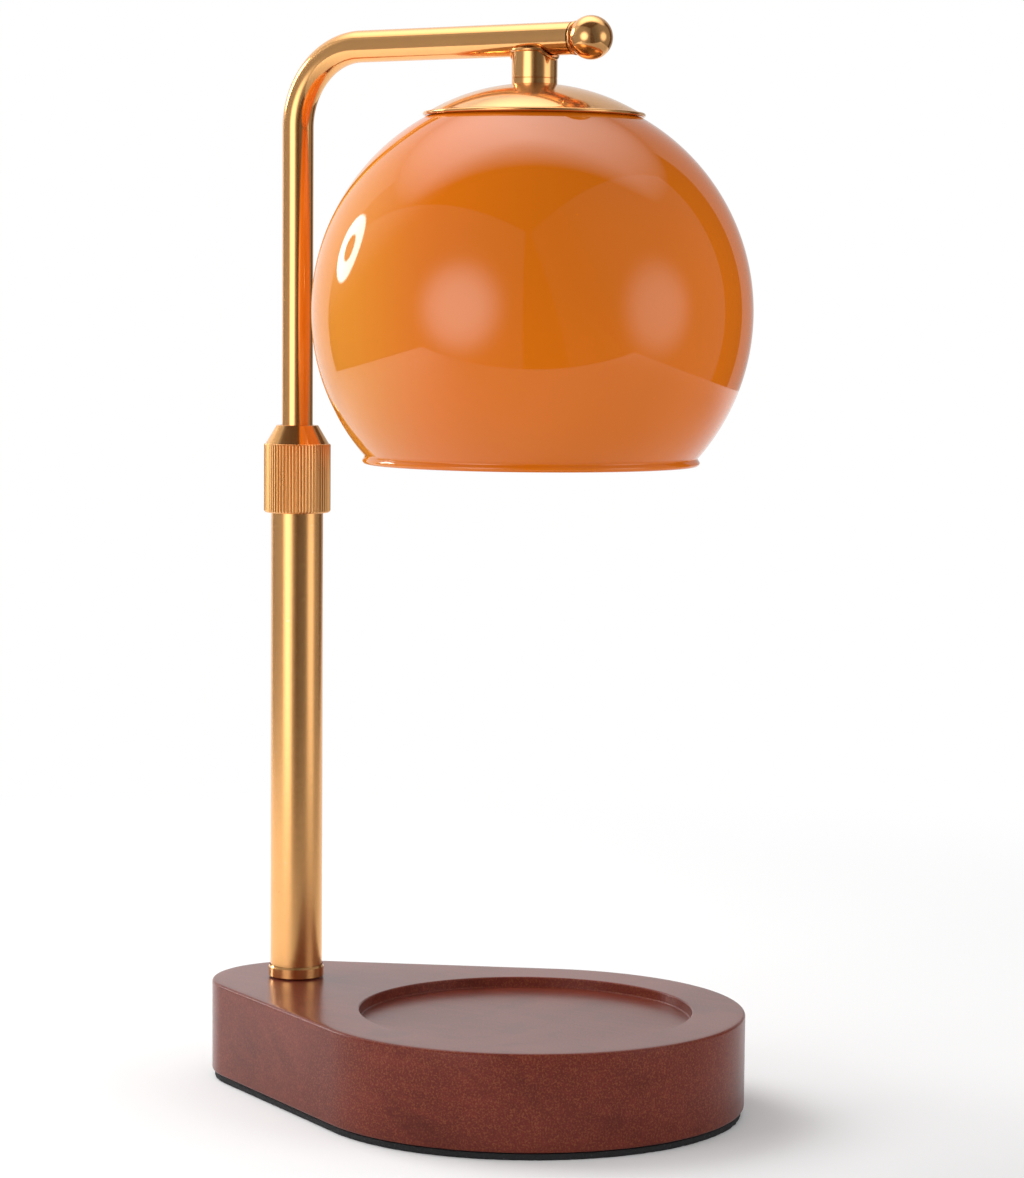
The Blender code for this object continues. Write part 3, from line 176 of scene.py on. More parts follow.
class LampColours(bpy.types.PropertyGroup):
    """Colours of the finishes."""

    gold: FloatVectorProperty(
        name="Gold",
        description="Colour of the gold plating",
        default=(0.96, 0.50, 0.188),
        subtype="COLOR",
    )
    glass: FloatVectorProperty(
        name="Shade glass",
        description="Colour of the shade's orange glass",
        default=(0.66, 0.150, 0.004),
        subtype="COLOR",
    )
    wood: FloatVectorProperty(
        name="Wood stain",
        description="Main colour of the stained wood",
        default=(0.130, 0.022, 0.015),
        subtype="COLOR",
    )
    wood_fleck: FloatVectorProperty(
        name="Wood flecks",
        description="Colour of the light flecks in the wood",
        default=(0.265, 0.080, 0.031),
        subtype="COLOR",
    )


class LampStage(bpy.types.PropertyGroup):
    """The studio: its light, floor and camera."""

    daylight: FloatProperty(
        name="Even light",
        description="Strength of the even light from all round",
        default=0.62,
    )
    key_power: FloatProperty(
        name="Key light",
        description="Power of the main light",
        default=12.5,
        unit="POWER",
    )
    side_power: FloatProperty(
        name="Side light",
        description="Power of the light from the left",
        default=6.0,
        unit="POWER",
    )
    fill_power: FloatProperty(
        name="Fill light",
        description="Power of the light from the right",
        default=3.5,
        unit="POWER",
    )
    floor_colour: FloatVectorProperty(
        name="Floor",
        description="Colour of the floor",
        default=(0.86, 0.86, 0.86),
        subtype="COLOR",
    )
    lens: FloatProperty(
        name="Lens",
        description="Focal length of the camera, in millimetres",
        default=108.7,
    )
    lens_rise: FloatProperty(
        name="Lens rise",
        description="Shift of the view, as a share of the picture's height",
        default=0.0927,
    )


# Shader nodes


class Signal:
    """An output socket that takes part in Python arithmetic."""

    def __init__(self, paint, socket):
        self.paint = paint
        self.socket = socket

    def maths(self, operation, *values):
        return self.paint.node("Math", {"operation": operation}, values)

    def __add__(self, other):
        return self.maths("ADD", self, other)

    def __radd__(self, other):
        return self.maths("ADD", other, self)

    def __sub__(self, other):
        return self.maths("SUBTRACT", self, other)

    def __rsub__(self, other):
        return self.maths("SUBTRACT", other, self)

    def __mul__(self, other):
        return self.maths("MULTIPLY", self, other)

    def __rmul__(self, other):
        return self.maths("MULTIPLY", other, self)

    def __truediv__(self, other):
        return self.maths("DIVIDE", self, other)

    def __rtruediv__(self, other):
        return self.maths("DIVIDE", other, self)

    def __pow__(self, other):
        return self.maths("POWER", self, other)

    def __rpow__(self, other):
        return self.maths("POWER", other, self)

    def least(self, other):
        return self.maths("MINIMUM", self, other)

    def most(self, other):
        return self.maths("MAXIMUM", self, other)


class Paint:
    """A node tree that is put together one node at a time."""

    def __init__(self, tree):
        self.tree = tree
        tree.nodes.clear()

    def node(self, kind, settings=None, sockets=(), output=0):
        """Add a node, change its settings, then feed its sockets values or links."""
        node = self.tree.nodes.new("ShaderNode" + kind)
        for key, value in (settings or {}).items():
            if key == "stops":
                self.set_stops(node.color_ramp.elements, value)
            else:
                setattr(node, key, value)
        pairs = sockets.items() if isinstance(sockets, dict) else enumerate(sockets)
        for key, value in pairs:
            if isinstance(value, Signal):
                self.tree.links.new(value.socket, node.inputs[key])
            else:
                node.inputs[key].default_value = value
        return Signal(self, node.outputs[output] if len(node.outputs) else None)

    def set_stops(self, elements, stops):
        while len(elements) < len(stops):
            elements.new(1.0)
        for element, (place, colour) in zip(elements, stops):
            element.position = place
            element.color = (*colour, 1.0)

    def coordinates(self, output="Object"):
        return self.node("TexCoord", output=output)

    def ray(self, kind):
        """1 for rays of one kind, and 0 for the others."""
        return self.node("LightPath", output=kind)

    def vector(self, operation, first, second, output=0):
        return self.node("VectorMath", {"operation": operation}, (first, second), output)

    def dot(self, first, second):
        return self.vector("DOT_PRODUCT", first, second, output=1)

    def stretched(self, place, scale):
        return self.vector("MULTIPLY", place, scale)

    def noise(self, place, scale, detail, roughness):
        sockets = {"Vector": place, "Scale": scale, "Detail": detail, "Roughness": roughness}
        return self.node("TexNoise", None, sockets)

    def ramp(self, value, stops):
        return self.node("ValToRGB", {"stops": stops}, (value,))

    def step(self, value, low, high):
        """0 below low, 1 above high, and smooth between them."""
        settings = {"interpolation_type": "SMOOTHSTEP"}
        sockets = {"Value": value, "From Min": low, "From Max": high}
        return self.node("MapRange", settings, sockets)

    def mix(self, share, first, second):
        return self.node("Mix", {"data_type": "RGBA"}, {0: share, 6: first, 7: second}, output=2)

    def relief(self, height, depth):
        return self.node("Bump", None, {"Strength": 1.0, "Distance": depth, "Height": height})


def opaque(colour, share=1.0):
    """A colour for a socket, made darker or lighter by a share."""
    return (*(c * share for c in colour), 1.0)


def new_material(name):
    """An empty material, the paint that fills its tree, and the places on the piece."""
    old = bpy.data.materials.get(name)
    if old is not None:
        bpy.data.materials.remove(old)
    material = bpy.data.materials.new(name)
    material.use_nodes = True
    paint = Paint(material.node_tree)
    return material, paint, paint.coordinates()


def principled(paint, sockets, haze=0.0):
    """Close the tree with a Principled shader; haze is the share of a second, rougher one."""
    shader = paint.node("BsdfPrincipled", None, sockets)
    if haze:
        rough = paint.node("BsdfPrincipled", None, {**sockets, "Roughness": HAZE_ROUGHNESS})
        shader = paint.node("MixShader", None, {0: haze, 1: shader, 2: rough})
    paint.node("OutputMaterial", None, {"Surface": shader})


def stained_wood():
    """Red-brown stain with fine flecks, faint grain along the board and a satin coat."""
    colours = bpy.context.scene.lamp_colours
    stain = colours.wood
    material, paint, place = new_material("stained_wood")
    grain = paint.noise(paint.stretched(place, (28.0, 420.0, 420.0)), 1.0, 4.0, 0.6)
    slant = {"Vector": place, "Angle": radians(-34.0)}
    slant = paint.node("VectorRotate", {"rotation_type": "Y_AXIS"}, slant)
    figure = paint.noise(paint.stretched(slant, (22.0, 45.0, 120.0)), 1.0, 3.0, 0.5)
    cloud = paint.noise(place, 24.0, 3.0, 0.55)
    fleck = paint.noise(place, 1700.0, 3.0, 0.75)
    pore = paint.noise(paint.stretched(place, (420.0, 2600.0, 2600.0)), 1.0, 2.0, 0.5)
    light = paint.step(fleck, 0.46, 0.66)
    dark = paint.step(pore, 0.66, 0.76)
    base = paint.mix(paint.step(cloud, 0.34, 0.68), opaque(stain, 0.78), opaque(stain))
    base = paint.mix(paint.step(grain, 0.40, 0.75) * 0.3, base, opaque(stain, 1.5))
    base = paint.mix(light * (0.25 + cloud * 0.5), base, opaque(colours.wood_fleck))
    base = paint.mix(paint.step(figure, 0.50, 0.74) * 0.34, base, opaque(stain, 0.38))
    base = paint.mix(dark * 0.5, base, opaque(stain, 0.3))
    height = fleck * 0.5 + grain * 0.5 - dark
    looks = {
        "Base Color": base,
        "Roughness": 0.36 + fleck * 0.16,
        "Normal": paint.relief(height, 0.000008),
        "Specular IOR Level": 0.05,
        "Coat Weight": 0.75 + cloud * 0.2,
        "Coat Roughness": 0.22,
        "Coat IOR": 1.25,
    }
    principled(paint, looks)
    return material


def foam_pad():
    """Matte black foam with open pores."""
    material, paint, place = new_material("foam_pad")
    cells = paint.noise(place, 2600.0, 3.0, 0.7)
    dust = paint.step(paint.noise(place, 1400.0, 2.0, 0.5), 0.66, 0.76)
    shade = paint.ramp(cells, [(0.3, (0.006, 0.006, 0.007)), (0.8, (0.030, 0.029, 0.031))])
    colour = paint.mix(dust * 0.4, shade, (0.16, 0.155, 0.15, 1.0))
    pores = paint.relief(cells, 0.00012)
    principled(paint, {"Base Color": colour, "Roughness": 0.82 + cells * 0.12, "Normal": pores})
    return material


def gold_plating(name, roughness, specks, ripple):
    """Gold plating: fine specks, faint smears, a slight ripple and a little haze in its shine."""
    gold = bpy.context.scene.lamp_colours.gold
    material, paint, place = new_material(name)
    smear = paint.noise(paint.stretched(place, (90.0, 90.0, 24.0)), 1.0, 3.0, 0.55)
    grit = paint.noise(place, 2300.0, 2.0, 0.6)
    speck = paint.step(grit, 0.66, 0.74)
    dust = paint.step(paint.noise(place, 1300.0, 1.0, 0.3), 0.76, 0.82)
    peel = paint.noise(place, 520.0, 2.0, 0.5)
    tone = paint.mix(paint.step(smear, 0.3, 0.75), opaque(gold, 0.94), opaque(gold))
    tone = paint.mix(speck * specks, tone, opaque(gold, 0.45))
    tone = paint.mix(dust * specks, tone, (1.0, 0.92, 0.80, 1.0))
    looks = {
        "Base Color": tone,
        "Metallic": 1.0 - speck * (0.3 * specks),
        "Roughness": roughness + smear * (roughness * 0.35) + speck * (0.2 * specks),
        "Normal": paint.relief(peel + grit * specks, ripple),
    }
    principled(paint, looks, haze=0.13)
    return material


def orange_glass():
    """Orange cased glass under a clear glossy layer, with painted light: a more golden tint on the
    side towards the pole, where warm light falls and is reflected.
    """
    glass = bpy.context.scene.lamp_colours.glass
    painted_light_tint = (glass[0] * 0.93, glass[1] * 1.35, glass[2])
    painted_light_side = (-0.83, -0.56, 0.0)
    material, paint, place = new_material("orange_glass")
    cloud = paint.noise(place, 14.0, 2.0, 0.5)
    seeds = paint.step(paint.noise(place, 700.0, 1.0, 0.4), 0.80, 0.86)
    wave = paint.noise(paint.stretched(place, (1.0, 1.0, 1.8)), 22.0, 1.0, 0.4)
    tone = paint.mix(paint.step(cloud, 0.3, 0.7), opaque(glass, 0.93), opaque(glass))
    tone = paint.mix(seeds * 0.4, tone, opaque(glass, 1.5))
    # Painted light: towards the pole the glass takes the more golden tint of the warm light that
    # falls and is reflected there.
    across = paint.dot(paint.vector("SUBTRACT", place, (RECESS_X, 0.0, 0.0)), painted_light_side)
    tone = paint.mix(paint.step(across, 0.026, 0.062), tone, opaque(painted_light_tint))
    looks = {
        "Base Color": tone,
        "Roughness": 0.30 + cloud * 0.06,
        "Specular IOR Level": 0.0,
        "Coat Weight": 1.0 - seeds * 0.2,
        "Coat Roughness": 0.03,
        "Coat IOR": 1.60,
        "Normal": paint.relief(wave, 0.00025),
    }
    principled(paint, looks)
    return material


def plain_steel():
    """Zinc-plated steel with faint streaks."""
    _, paint, place = new_material("zinc_plated_steel")
    streak = paint.noise(paint.stretched(place, (300.0, 300.0, 1800.0)), 1.0, 3.0, 0.6)
    spangle = paint.noise(place, 380.0, 2.0, 0.5)
    tone = paint.ramp(spangle, [(0.3, (0.46, 0.46, 0.47)), (0.7, (0.62, 0.62, 0.61))])
    looks = {
        "Base Color": tone,
        "Metallic": 1.0 - spangle * 0.1,
        "Roughness": 0.26 + streak * 0.2,
        "Normal": paint.relief(streak, 0.00001),
    }
    principled(paint, looks)


def moulded(name, light, dark, roughness, grain, depth):
    """A moulded or fired surface: two close tones and a fine relief."""
    _, paint, place = new_material(name)
    fine = paint.noise(place, grain, 3.0, 0.6)
    cloud = paint.noise(place, grain / 14.0, 2.0, 0.5)
    tone = paint.mix(paint.step(cloud * 0.6 + fine * 0.4, 0.3, 0.7), opaque(dark), opaque(light))
    relief = paint.relief(fine, depth)
    principled(paint, {"Base Color": tone, "Roughness": roughness + fine * 0.15, "Normal": relief})


def clear_glass():
    """Clear pressed glass."""
    material, paint, place = new_material("clear_glass")
    wave = paint.noise(place, 160.0, 2.0, 0.5)
    tone = paint.ramp(wave, [(0.3, (0.93, 0.95, 0.95)), (0.7, (0.97, 0.98, 0.98))])
    looks = {
        "Base Color": tone,
        "Roughness": 0.02 + wave * 0.03,
        "Transmission Weight": 1.0,
        "IOR": 1.5,
        "Normal": paint.relief(wave, 0.00006),
    }
    principled(paint, looks)
    return material


def mirror_coat():
    """The lamp bowl's mirror coating, a little uneven."""
    material, paint, place = new_material("mirror_coat")
    haze = paint.noise(place, 240.0, 3.0, 0.6)
    tone = paint.ramp(haze, [(0.3, (0.72, 0.72, 0.75)), (0.7, (0.88, 0.88, 0.87))])
    looks = {
        "Base Color": tone,
        "Metallic": 1.0 - haze * 0.05,
        "Roughness": 0.06 + haze * 0.08,
        "Normal": paint.relief(haze, 0.00003),
    }
    principled(paint, looks)
    return material


# Shapes


def standing(x, z=0.0):
    """Matrix that moves a turned shape to a place in the lamp's middle plane."""
    return Matrix.Translation((x, 0.0, z))


def spread(start, end, count):
    """Evenly spaced values, both ends included."""
    return [start + (end - start) * i / (count - 1) for i in range(count)]


def arc(centre, radius, start, end, count):
    """Points on an arc, both ends included."""
    cx, cy = centre
    return [(cx + radius * cos(t), cy + radius * sin(t)) for t in spread(start, end, count)]


def sphere_points(radius, start, end, count):
    """Profile points down a sphere about the origin, between two angles from its top."""
    return [(radius * sin(a), radius * cos(a)) for a in spread(start, end, count)]


def finished(work, name, matrix=None):
    """Weld a bmesh, turn its faces outward and make it a mesh."""
    bmesh.ops.remove_doubles(work, verts=work.verts, dist=TINY)
    bmesh.ops.recalc_face_normals(work, faces=work.faces)
    if matrix is not None:
        work.transform(matrix)
    mesh = bpy.data.meshes.new(name)
    work.to_mesh(mesh)
    work.free()
    return mesh


def turned(name, profile, matrix, steps=AROUND, closed=True):
    """Revolve (radius, height) points about Z."""
    work = bmesh.new()
    points = [work.verts.new((r, 0.0, z)) for r, z in profile]
    pairs = list(zip(points, points[1:]))
    if closed:
        pairs.append((points[-1], points[0]))
    lines = [work.edges.new(pair) for pair in pairs]
    up = (0.0, 0.0, 1.0)
    bmesh.ops.spin(
        work, geom=points + lines, cent=Vector(), axis=up, angle=2 * pi, steps=steps, use_merge=True
    )
    return finished(work, name, matrix)


def lofted(name, rings):
    """Join rings with the same number of points each, and close the first and last."""
    work = bmesh.new()
    rows = [[work.verts.new(point) for point in ring] for ring in rings]
    count = len(rows[0])
    for low, high in zip(rows, rows[1:]):
        for i in range(count):
            after = (i + 1) % count
            work.faces.new((low[i], low[after], high[after], high[i]))
    work.faces.new(reversed(rows[0]))
    work.faces.new(rows[-1])
    return finished(work, name)


def bar(name, points, radius, sides, loop=False):
    """A round bar along points, as a closed mesh."""
    curve = bpy.data.curves.new(name, "CURVE")
    curve.dimensions = "3D"
    curve.bevel_depth = radius
    curve.bevel_resolution = sides // 2 - 2
    curve.use_fill_caps = not loop
    spline = curve.splines.new("POLY")
    spline.points.add(len(points) - 1)
    spline.use_cyclic_u = loop
    for point, place in zip(spline.points, points):
        point.co = (*place, 1.0)
    guide = bpy.data.objects.new(name, curve)
    bpy.context.scene.collection.objects.link(guide)
    bpy.context.view_layer.update()
    graph = bpy.context.evaluated_depsgraph_get()
    mesh = bpy.data.meshes.new_from_object(guide.evaluated_get(graph))
    bpy.data.objects.remove(guide, do_unlink=True)
    bpy.data.curves.remove(curve)
    work = bmesh.new()
    work.from_mesh(mesh)
    bpy.data.meshes.remove(mesh)
    return finished(work, name)


def carved(mesh, tools, operation="DIFFERENCE"):
    """Cut or join a mesh with tool meshes, by exact Booleans."""
    thing = bpy.data.objects.new("blank", mesh)
    scene = bpy.context.scene.collection.objects
    scene.link(thing)
    helpers = []
    for tool in tools:
        helper = bpy.data.objects.new("tool", tool)
        scene.link(helper)
        helpers.append(helper)
        change = thing.modifiers.new("carve", "BOOLEAN")
        change.operation = operation
        change.solver = "EXACT"
        change.object = helper
    bpy.context.view_layer.update()
    graph = bpy.context.evaluated_depsgraph_get()
    result = bpy.data.meshes.new_from_object(thing.evaluated_get(graph))
    result.name = mesh.name
    for helper in helpers + [thing]:
        data = helper.data
        bpy.data.objects.remove(helper, do_unlink=True)
        bpy.data.meshes.remove(data)
    return result


def add_piece(mesh, material, body, stands_for, crease=30.0):
    """Add a mesh as a piece that rides on a body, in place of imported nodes.

    An edge sharper than crease, in degrees, shows as a hard edge.
    """
    old = bpy.data.objects.get(mesh.name)
    if old is not None:
        bpy.data.objects.remove(old, do_unlink=True)
    thing = bpy.data.objects.new(mesh.name, mesh)
    bpy.context.scene.collection.objects.link(thing)
    mesh.materials.clear()
    mesh.materials.append(material)
    mesh.shade_smooth()
    mesh.set_sharp_from_angle(angle=radians(crease))
    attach(thing, body)
    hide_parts(*stands_for)


def add_arm_piece(mesh, node):
    """Add a piece of polished gold that rides on the arm."""
    add_piece(mesh, bpy.data.materials["polished_gold"], "arm", [node])


def finish_node(name, material):
    """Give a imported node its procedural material, in the slots that it has."""
    for slot in frame["nodes"][name].material_slots:
        slot.material = material


def board_outline(inset, height, finer=1):
    """A ring of the board's outline: two arcs joined by their common tangents."""
    sizes = bpy.context.scene.lamp_sizes
    big = half_width("wood_base") - inset
    small = sizes.board_small_radius - inset
    small_x = BOARD_LOW.x + sizes.board_small_radius
    touch = acos((small - big) / (RECESS_X - small_x))
    lean = pi - touch
    points = arc((RECESS_X, 0.0), big, lean - pi, pi - lean, 96 * finer + 1)
    points += arc((small_x, 0.0), small, pi - lean, pi + lean, 40 * finer + 1)
    return [(x, y, height) for x, y in points]


def rounded_edge(low, high, edge, count=6):
    """(inset, height) pairs up a slab whose two edges are rounded."""
    lower = arc((edge, low + edge), edge, -pi / 2, -pi, count)
    upper = arc((edge, high - edge), edge, pi, pi / 2, count)
    border = 3 * edge
    return [(border, low)] + lower + upper + [(border, high)]


class LAMP_OT_base_board(bpy.types.Operator):
    """Add the stained wooden board with its round recess"""

    bl_idname = "lamp.base_board"
    bl_label = "Base Board"

    def execute(self, context):
        sizes = context.scene.lamp_sizes
        rows = rounded_edge(BOARD_LOW.z, BOARD_HIGH.z, sizes.board_edge)
        board = lofted("base_board", [board_outline(inset, z) for inset, z in rows])
        rim = sizes.recess_round
        outer = sizes.recess_radius
        depth = sizes.recess_depth
        edge = arc((outer + rim, -rim), rim, radians(100.0), pi, 7)
        corner = arc((outer - rim, rim - depth), rim, 0.0, -pi / 2, 7)
        profile = [(0.0, OVERRUN), (edge[0][0], OVERRUN)] + edge + corner
        profile += [(0.9 * outer, -depth), (0.0, -depth)]
        recess = turned("recess", profile, standing(RECESS_X, BOARD_HIGH.z), WIDE_AROUND)

        low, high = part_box("cord_bushing")
        flange = 0.0010
        bore = 0.0040
        hole = (high.z - low.z) / 2 + GAP
        hole_z = (low.z + high.z) / 2
        seat = low.x + flange + GAP - BOARD_LOW.x
        reach = high.x - BOARD_LOW.x
        profile = [(0.0, -OVERRUN), (hole, -OVERRUN), (hole, seat)]
        profile += [(bore, seat), (bore, reach), (0.0, reach)]
        inlet = turned("inlet", profile, standing(BOARD_LOW.x, hole_z) @ SIDEWAYS, 48)
        board = carved(board, [recess, inlet])
        add_piece(board, stained_wood(), "stand", ["wood_base"])
        return {"FINISHED"}


class LAMP_OT_foot_pad(bpy.types.Operator):
    """Add the thin foam pad under the board"""

    bl_idname = "lamp.foot_pad"
    bl_label = "Foot Pad"

    def execute(self, context):
        inset = context.scene.lamp_sizes.pad_inset
        edge = 0.0003
        deepest_nick = 0.00022
        low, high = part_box("base_pad")
        chance = Random(5)
        rings = []
        for extra, z in rounded_edge(low.z, high.z, edge, 3):
            outline = board_outline(inset + extra, z, 4)
            nicks = [chance.uniform(0.0, deepest_nick) for _ in outline]
            ring = []
            for i, (x, y, _) in enumerate(outline):
                pull = 1.0 - (nicks[i] + nicks[i - 1]) / hypot(x - RECESS_X, y)
                ring.append((RECESS_X + (x - RECESS_X) * pull, y * pull, z))
            rings.append(ring)
        add_piece(lofted("foot_pad", rings), foam_pad(), "stand", ["base_pad"])
        return {"FINISHED"}


class LAMP_OT_pole(bpy.types.Operator):
    """Add the lower tube and the ring round its foot"""

    bl_idname = "lamp.pole"
    bl_label = "Pole and Foot Ring"

    def execute(self, context):
        sizes = context.scene.lamp_sizes
        satin = gold_plating("satin_gold", 0.185, 0.55, 0.000012)
        polished = gold_plating("polished_gold", 0.09, 0.12, 0.000006)
        low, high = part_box("lower_tube")
        outer = half_width("lower_tube")
        inner = outer - sizes.tube_wall
        edge = 0.0002
        profile = [(outer, low.z), (outer, high.z - edge), (outer - edge, high.z)]
        profile += [(inner, high.z), (inner, low.z)]
        pole = standing(POLE_X)
        add_piece(turned("pole_tube", profile, pole), satin, "stand", ["lower_tube"])

        low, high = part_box("foot_ring")
        ring = half_width("foot_ring")
        chamfer = sizes.ring_chamfer
        bore = outer + GAP
        profile = [(bore, low.z), (ring - GAP, low.z), (ring, low.z + GAP)]
        profile += [(ring, high.z - chamfer), (ring - 0.12 * chamfer, high.z - 0.8 * chamfer)]
        profile += [(ring - 0.42 * chamfer, high.z), (bore, high.z)]
        add_piece(turned("foot_collar", profile, pole), polished, "stand", ["foot_ring"])
        return {"FINISHED"}


class LAMP_OT_clamp_nut(bpy.types.Operator):
    """Add the knurled nut with its smooth cone"""

    bl_idname = "lamp.clamp_nut"
    bl_label = "Clamp Nut"

    def execute(self, context):
        sizes = context.scene.lamp_sizes
        low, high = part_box("clamp_nut")
        ridge = 0.0108
        valley = ridge - sizes.nut_rib_height
        knurl_top = high.z - sizes.nut_cone_height
        foot_round = 0.0010
        foot_face = 0.0022
        bore = half_width("arm_tube") + 0.0004
        bore_depth = 0.004
        cone_top = sizes.nut_cone_top
        profile = [(bore, low.z + 2 * SOFT), (ridge - foot_face, low.z)]
        profile += arc((ridge - foot_round, low.z + foot_round), foot_round, -pi / 2, 0.0, 8)
        profile += [(ridge, knurl_top - 4 * SOFT), (ridge - 2 * SOFT, knurl_top - SOFT)]
        profile += [(sizes.nut_cone_foot, knurl_top), (cone_top + SOFT, high.z - SOFT)]
        profile += [(cone_top - SOFT, high.z), (bore, high.z), (bore, high.z - bore_depth)]
        falls = [0.0, 0.05, 0.24, 0.62, 1.0, 0.62, 0.24, 0.05]  # from ridge to valley and back
        each = len(falls)
        count = sizes.nut_ribs * each
        rings = []
        for radius, z in profile:
            ring = []
            for i in range(count):
                turn = 2 * pi * i / count
                limit = ridge - (ridge - valley) * falls[i % each]
                r = min(radius, limit)
                ring.append((POLE_X + r * cos(turn), r * sin(turn), z))
            rings.append(ring)
        nut = lofted("knurled_nut", rings)
        knurl = gold_plating("knurled_gold", 0.24, 0.1, 0.000001)
        add_piece(nut, knurl, "clamp_nut", ["clamp_nut"], 24.0)
        nut.materials.append(bpy.data.materials["polished_gold"])
        for face in nut.polygons:
            face.material_index = int(face.center.z > knurl_top + TINY)
        return {"FINISHED"}


class LAMP_OT_arm(bpy.types.Operator):
    """Add the bent upper tube and the ball on its end"""

    bl_idname = "lamp.arm"
    bl_label = "Arm and Ball"

    def execute(self, context):
        sizes = context.scene.lamp_sizes
        low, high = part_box("arm_tube")
        bend = sizes.arm_bend
        turn = arc((POLE_X + bend, ARM_Z - bend), bend, pi, pi / 2, 49)
        line = [(POLE_X, 0.0, low.z)] + [(x, 0.0, z) for x, z in turn] + [(high.x, 0.0, ARM_Z)]
        tube = bar("bent_arm", line, sizes.arm_radius, 64)
        add_arm_piece(tube, "arm_tube")

        radius = half_width("ball_finial")
        ball_x = BALL_HIGH.x - radius
        collar = sizes.ball_collar_radius
        edge = -sqrt(radius**2 - collar**2)
        start = edge - sizes.ball_collar
        last = pi - asin(collar / radius)
        groove = collar - 0.0007
        bead = 0.0005
        bead_end = 0.00152
        profile = sphere_points(radius, 0.0, last, 49)
        profile += [(groove, edge - SOFT), (groove, edge - 4 * SOFT)]
        profile += arc((collar - bead, edge - 2 * bead), bead, pi / 2, -pi / 2, 9)
        profile += [(sizes.arm_radius, edge - bead_end), (sizes.arm_radius, start), (0.0, start)]
        ball = turned("end_ball", profile, standing(ball_x, ARM_Z) @ SIDEWAYS, closed=False)
        add_arm_piece(ball, "ball_finial")
        return {"FINISHED"}


class LAMP_OT_drop_stub(bpy.types.Operator):
    """Add the stub that is coped to the arm, with its brazed lip and collar"""

    bl_idname = "lamp.drop_stub"
    bl_label = "Drop Stub"

    def execute(self, context):
        sizes = context.scene.lamp_sizes
        low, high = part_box("drop_stub")
        outer = sizes.stub_radius
        bore = sizes.stub_bore
        top = ARM_Z - sizes.stub_shoulder_drop
        rounding = 0.0012
        profile = [(bore, low.z), (outer - SOFT, low.z), (outer, low.z + SOFT)]
        profile += arc((outer - rounding, top - rounding), rounding, 0.0, pi / 2, 9)
        profile += [(bore, top)]
        stub = turned("coped_stub", profile, standing(RECESS_X))
        bead = sizes.stub_bead
        reach = sizes.arm_radius + GAP + bead
        lip = []
        for i in range(AROUND):
            turn = 2 * pi * i / AROUND
            side = outer * sin(turn)
            drop = max(sqrt(max(reach**2 - side**2, 0.0)), sizes.stub_shoulder_drop + bead)
            lip.append((RECESS_X + outer * cos(turn), side, ARM_Z - drop))
        stub = carved(stub, [bar("brazed_lip", lip, bead, 12, loop=True)], "UNION")
        span = 4 * outer
        fit = sizes.arm_radius + GAP
        cope = [(0.0, 0.0), (fit, 0.0), (fit, span), (0.0, span)]
        place = standing(RECESS_X - span / 2, ARM_Z) @ SIDEWAYS
        stub = carved(stub, [turned("cope", cope, place)])
        add_arm_piece(stub, "drop_stub")

        low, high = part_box("stub_collar")
        bottom = low.z - GAP + SEAM
        top = high.z + GAP - SEAM
        profile = [(bore, bottom), (outer - SOFT, bottom), (outer, bottom + SOFT)]
        profile += [(outer, top - SOFT), (outer - SOFT, top), (bore, top)]
        collar = turned("seam_collar", profile, standing(RECESS_X))
        add_arm_piece(collar, "stub_collar")
        return {"FINISHED"}


class LAMP_OT_shade(bpy.types.Operator):
    """Add the glass globe and the metal dome over it"""

    bl_idname = "lamp.shade"
    bl_label = "Shade and Dome"

    def execute(self, context):
        sizes = context.scene.lamp_sizes
        low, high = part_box("glass_shade")
        radius = sizes.shade_radius
        inner = radius - sizes.shade_wall
        hole = sizes.shade_hole
        centre_z = high.z - sqrt(radius**2 - hole**2)
        drop = centre_z - low.z
        foot = drop - sizes.shade_lip
        foot_r = sqrt(radius**2 - foot**2)
        step = 0.0004
        lip_r = foot_r + step
        lip_round = 0.0010
        inner_lip = lip_r - sizes.shade_wall
        inner_bevel = 0.0006
        neck_round = 0.0012
        neck_r = foot_r + 0.00105
        outside = sphere_points(radius, asin(hole / radius), pi - acos(foot / radius) - 0.006, 90)
        neck = arc((neck_r, -foot - step), neck_round, pi - 0.62, pi + 0.10, 6)
        rim = arc((lip_r - lip_round, lip_round - drop), lip_round, 0.35, -pi / 2, 10)
        mouth = [(inner_lip + inner_bevel, SOFT - drop), (inner_lip, 8 * SOFT - drop)]
        inside = sphere_points(inner, pi - asin(inner_lip / inner), asin(hole / inner), 80)
        profile = outside + neck + rim + mouth + inside
        shade = turned("globe_shade", profile, standing(RECESS_X, centre_z), GLOBE_AROUND)
        add_piece(shade, orange_glass(), "arm", ["glass_shade"])

        low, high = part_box("dome_cap")
        sheet = sizes.dome_sheet
        bead = sizes.dome_bead
        bead_r = half_width("dome_cap") - bead
        bead_z = sqrt((radius + GAP + bead) ** 2 - bead_r**2)
        curve_r = radius - sizes.dome_tighter
        curve_z = bead_z - sqrt(curve_r**2 - bead_r**2)
        edge = asin(bead_r / curve_r)
        land = asin(sizes.stub_radius / curve_r)
        bore = sizes.stub_bore
        outside = sphere_points(curve_r, land, edge - 2.2 * bead / curve_r, 40)
        outward = pi / 2 - edge
        roll = arc((bead_r, bead_z - curve_z), bead, outward + pi * 0.42, outward - pi * 0.9, 12)
        inside = sphere_points(curve_r - sheet, edge - 1.2 * bead / curve_r, land, 24)
        profile = [(bore, outside[0][1])] + outside + roll + inside + [(bore, inside[-1][1])]
        place = standing(RECESS_X, centre_z + curve_z)
        dome = turned("dome_shell", profile, place, WIDE_AROUND)
        add_arm_piece(dome, "dome_cap")
        return {"FINISHED"}


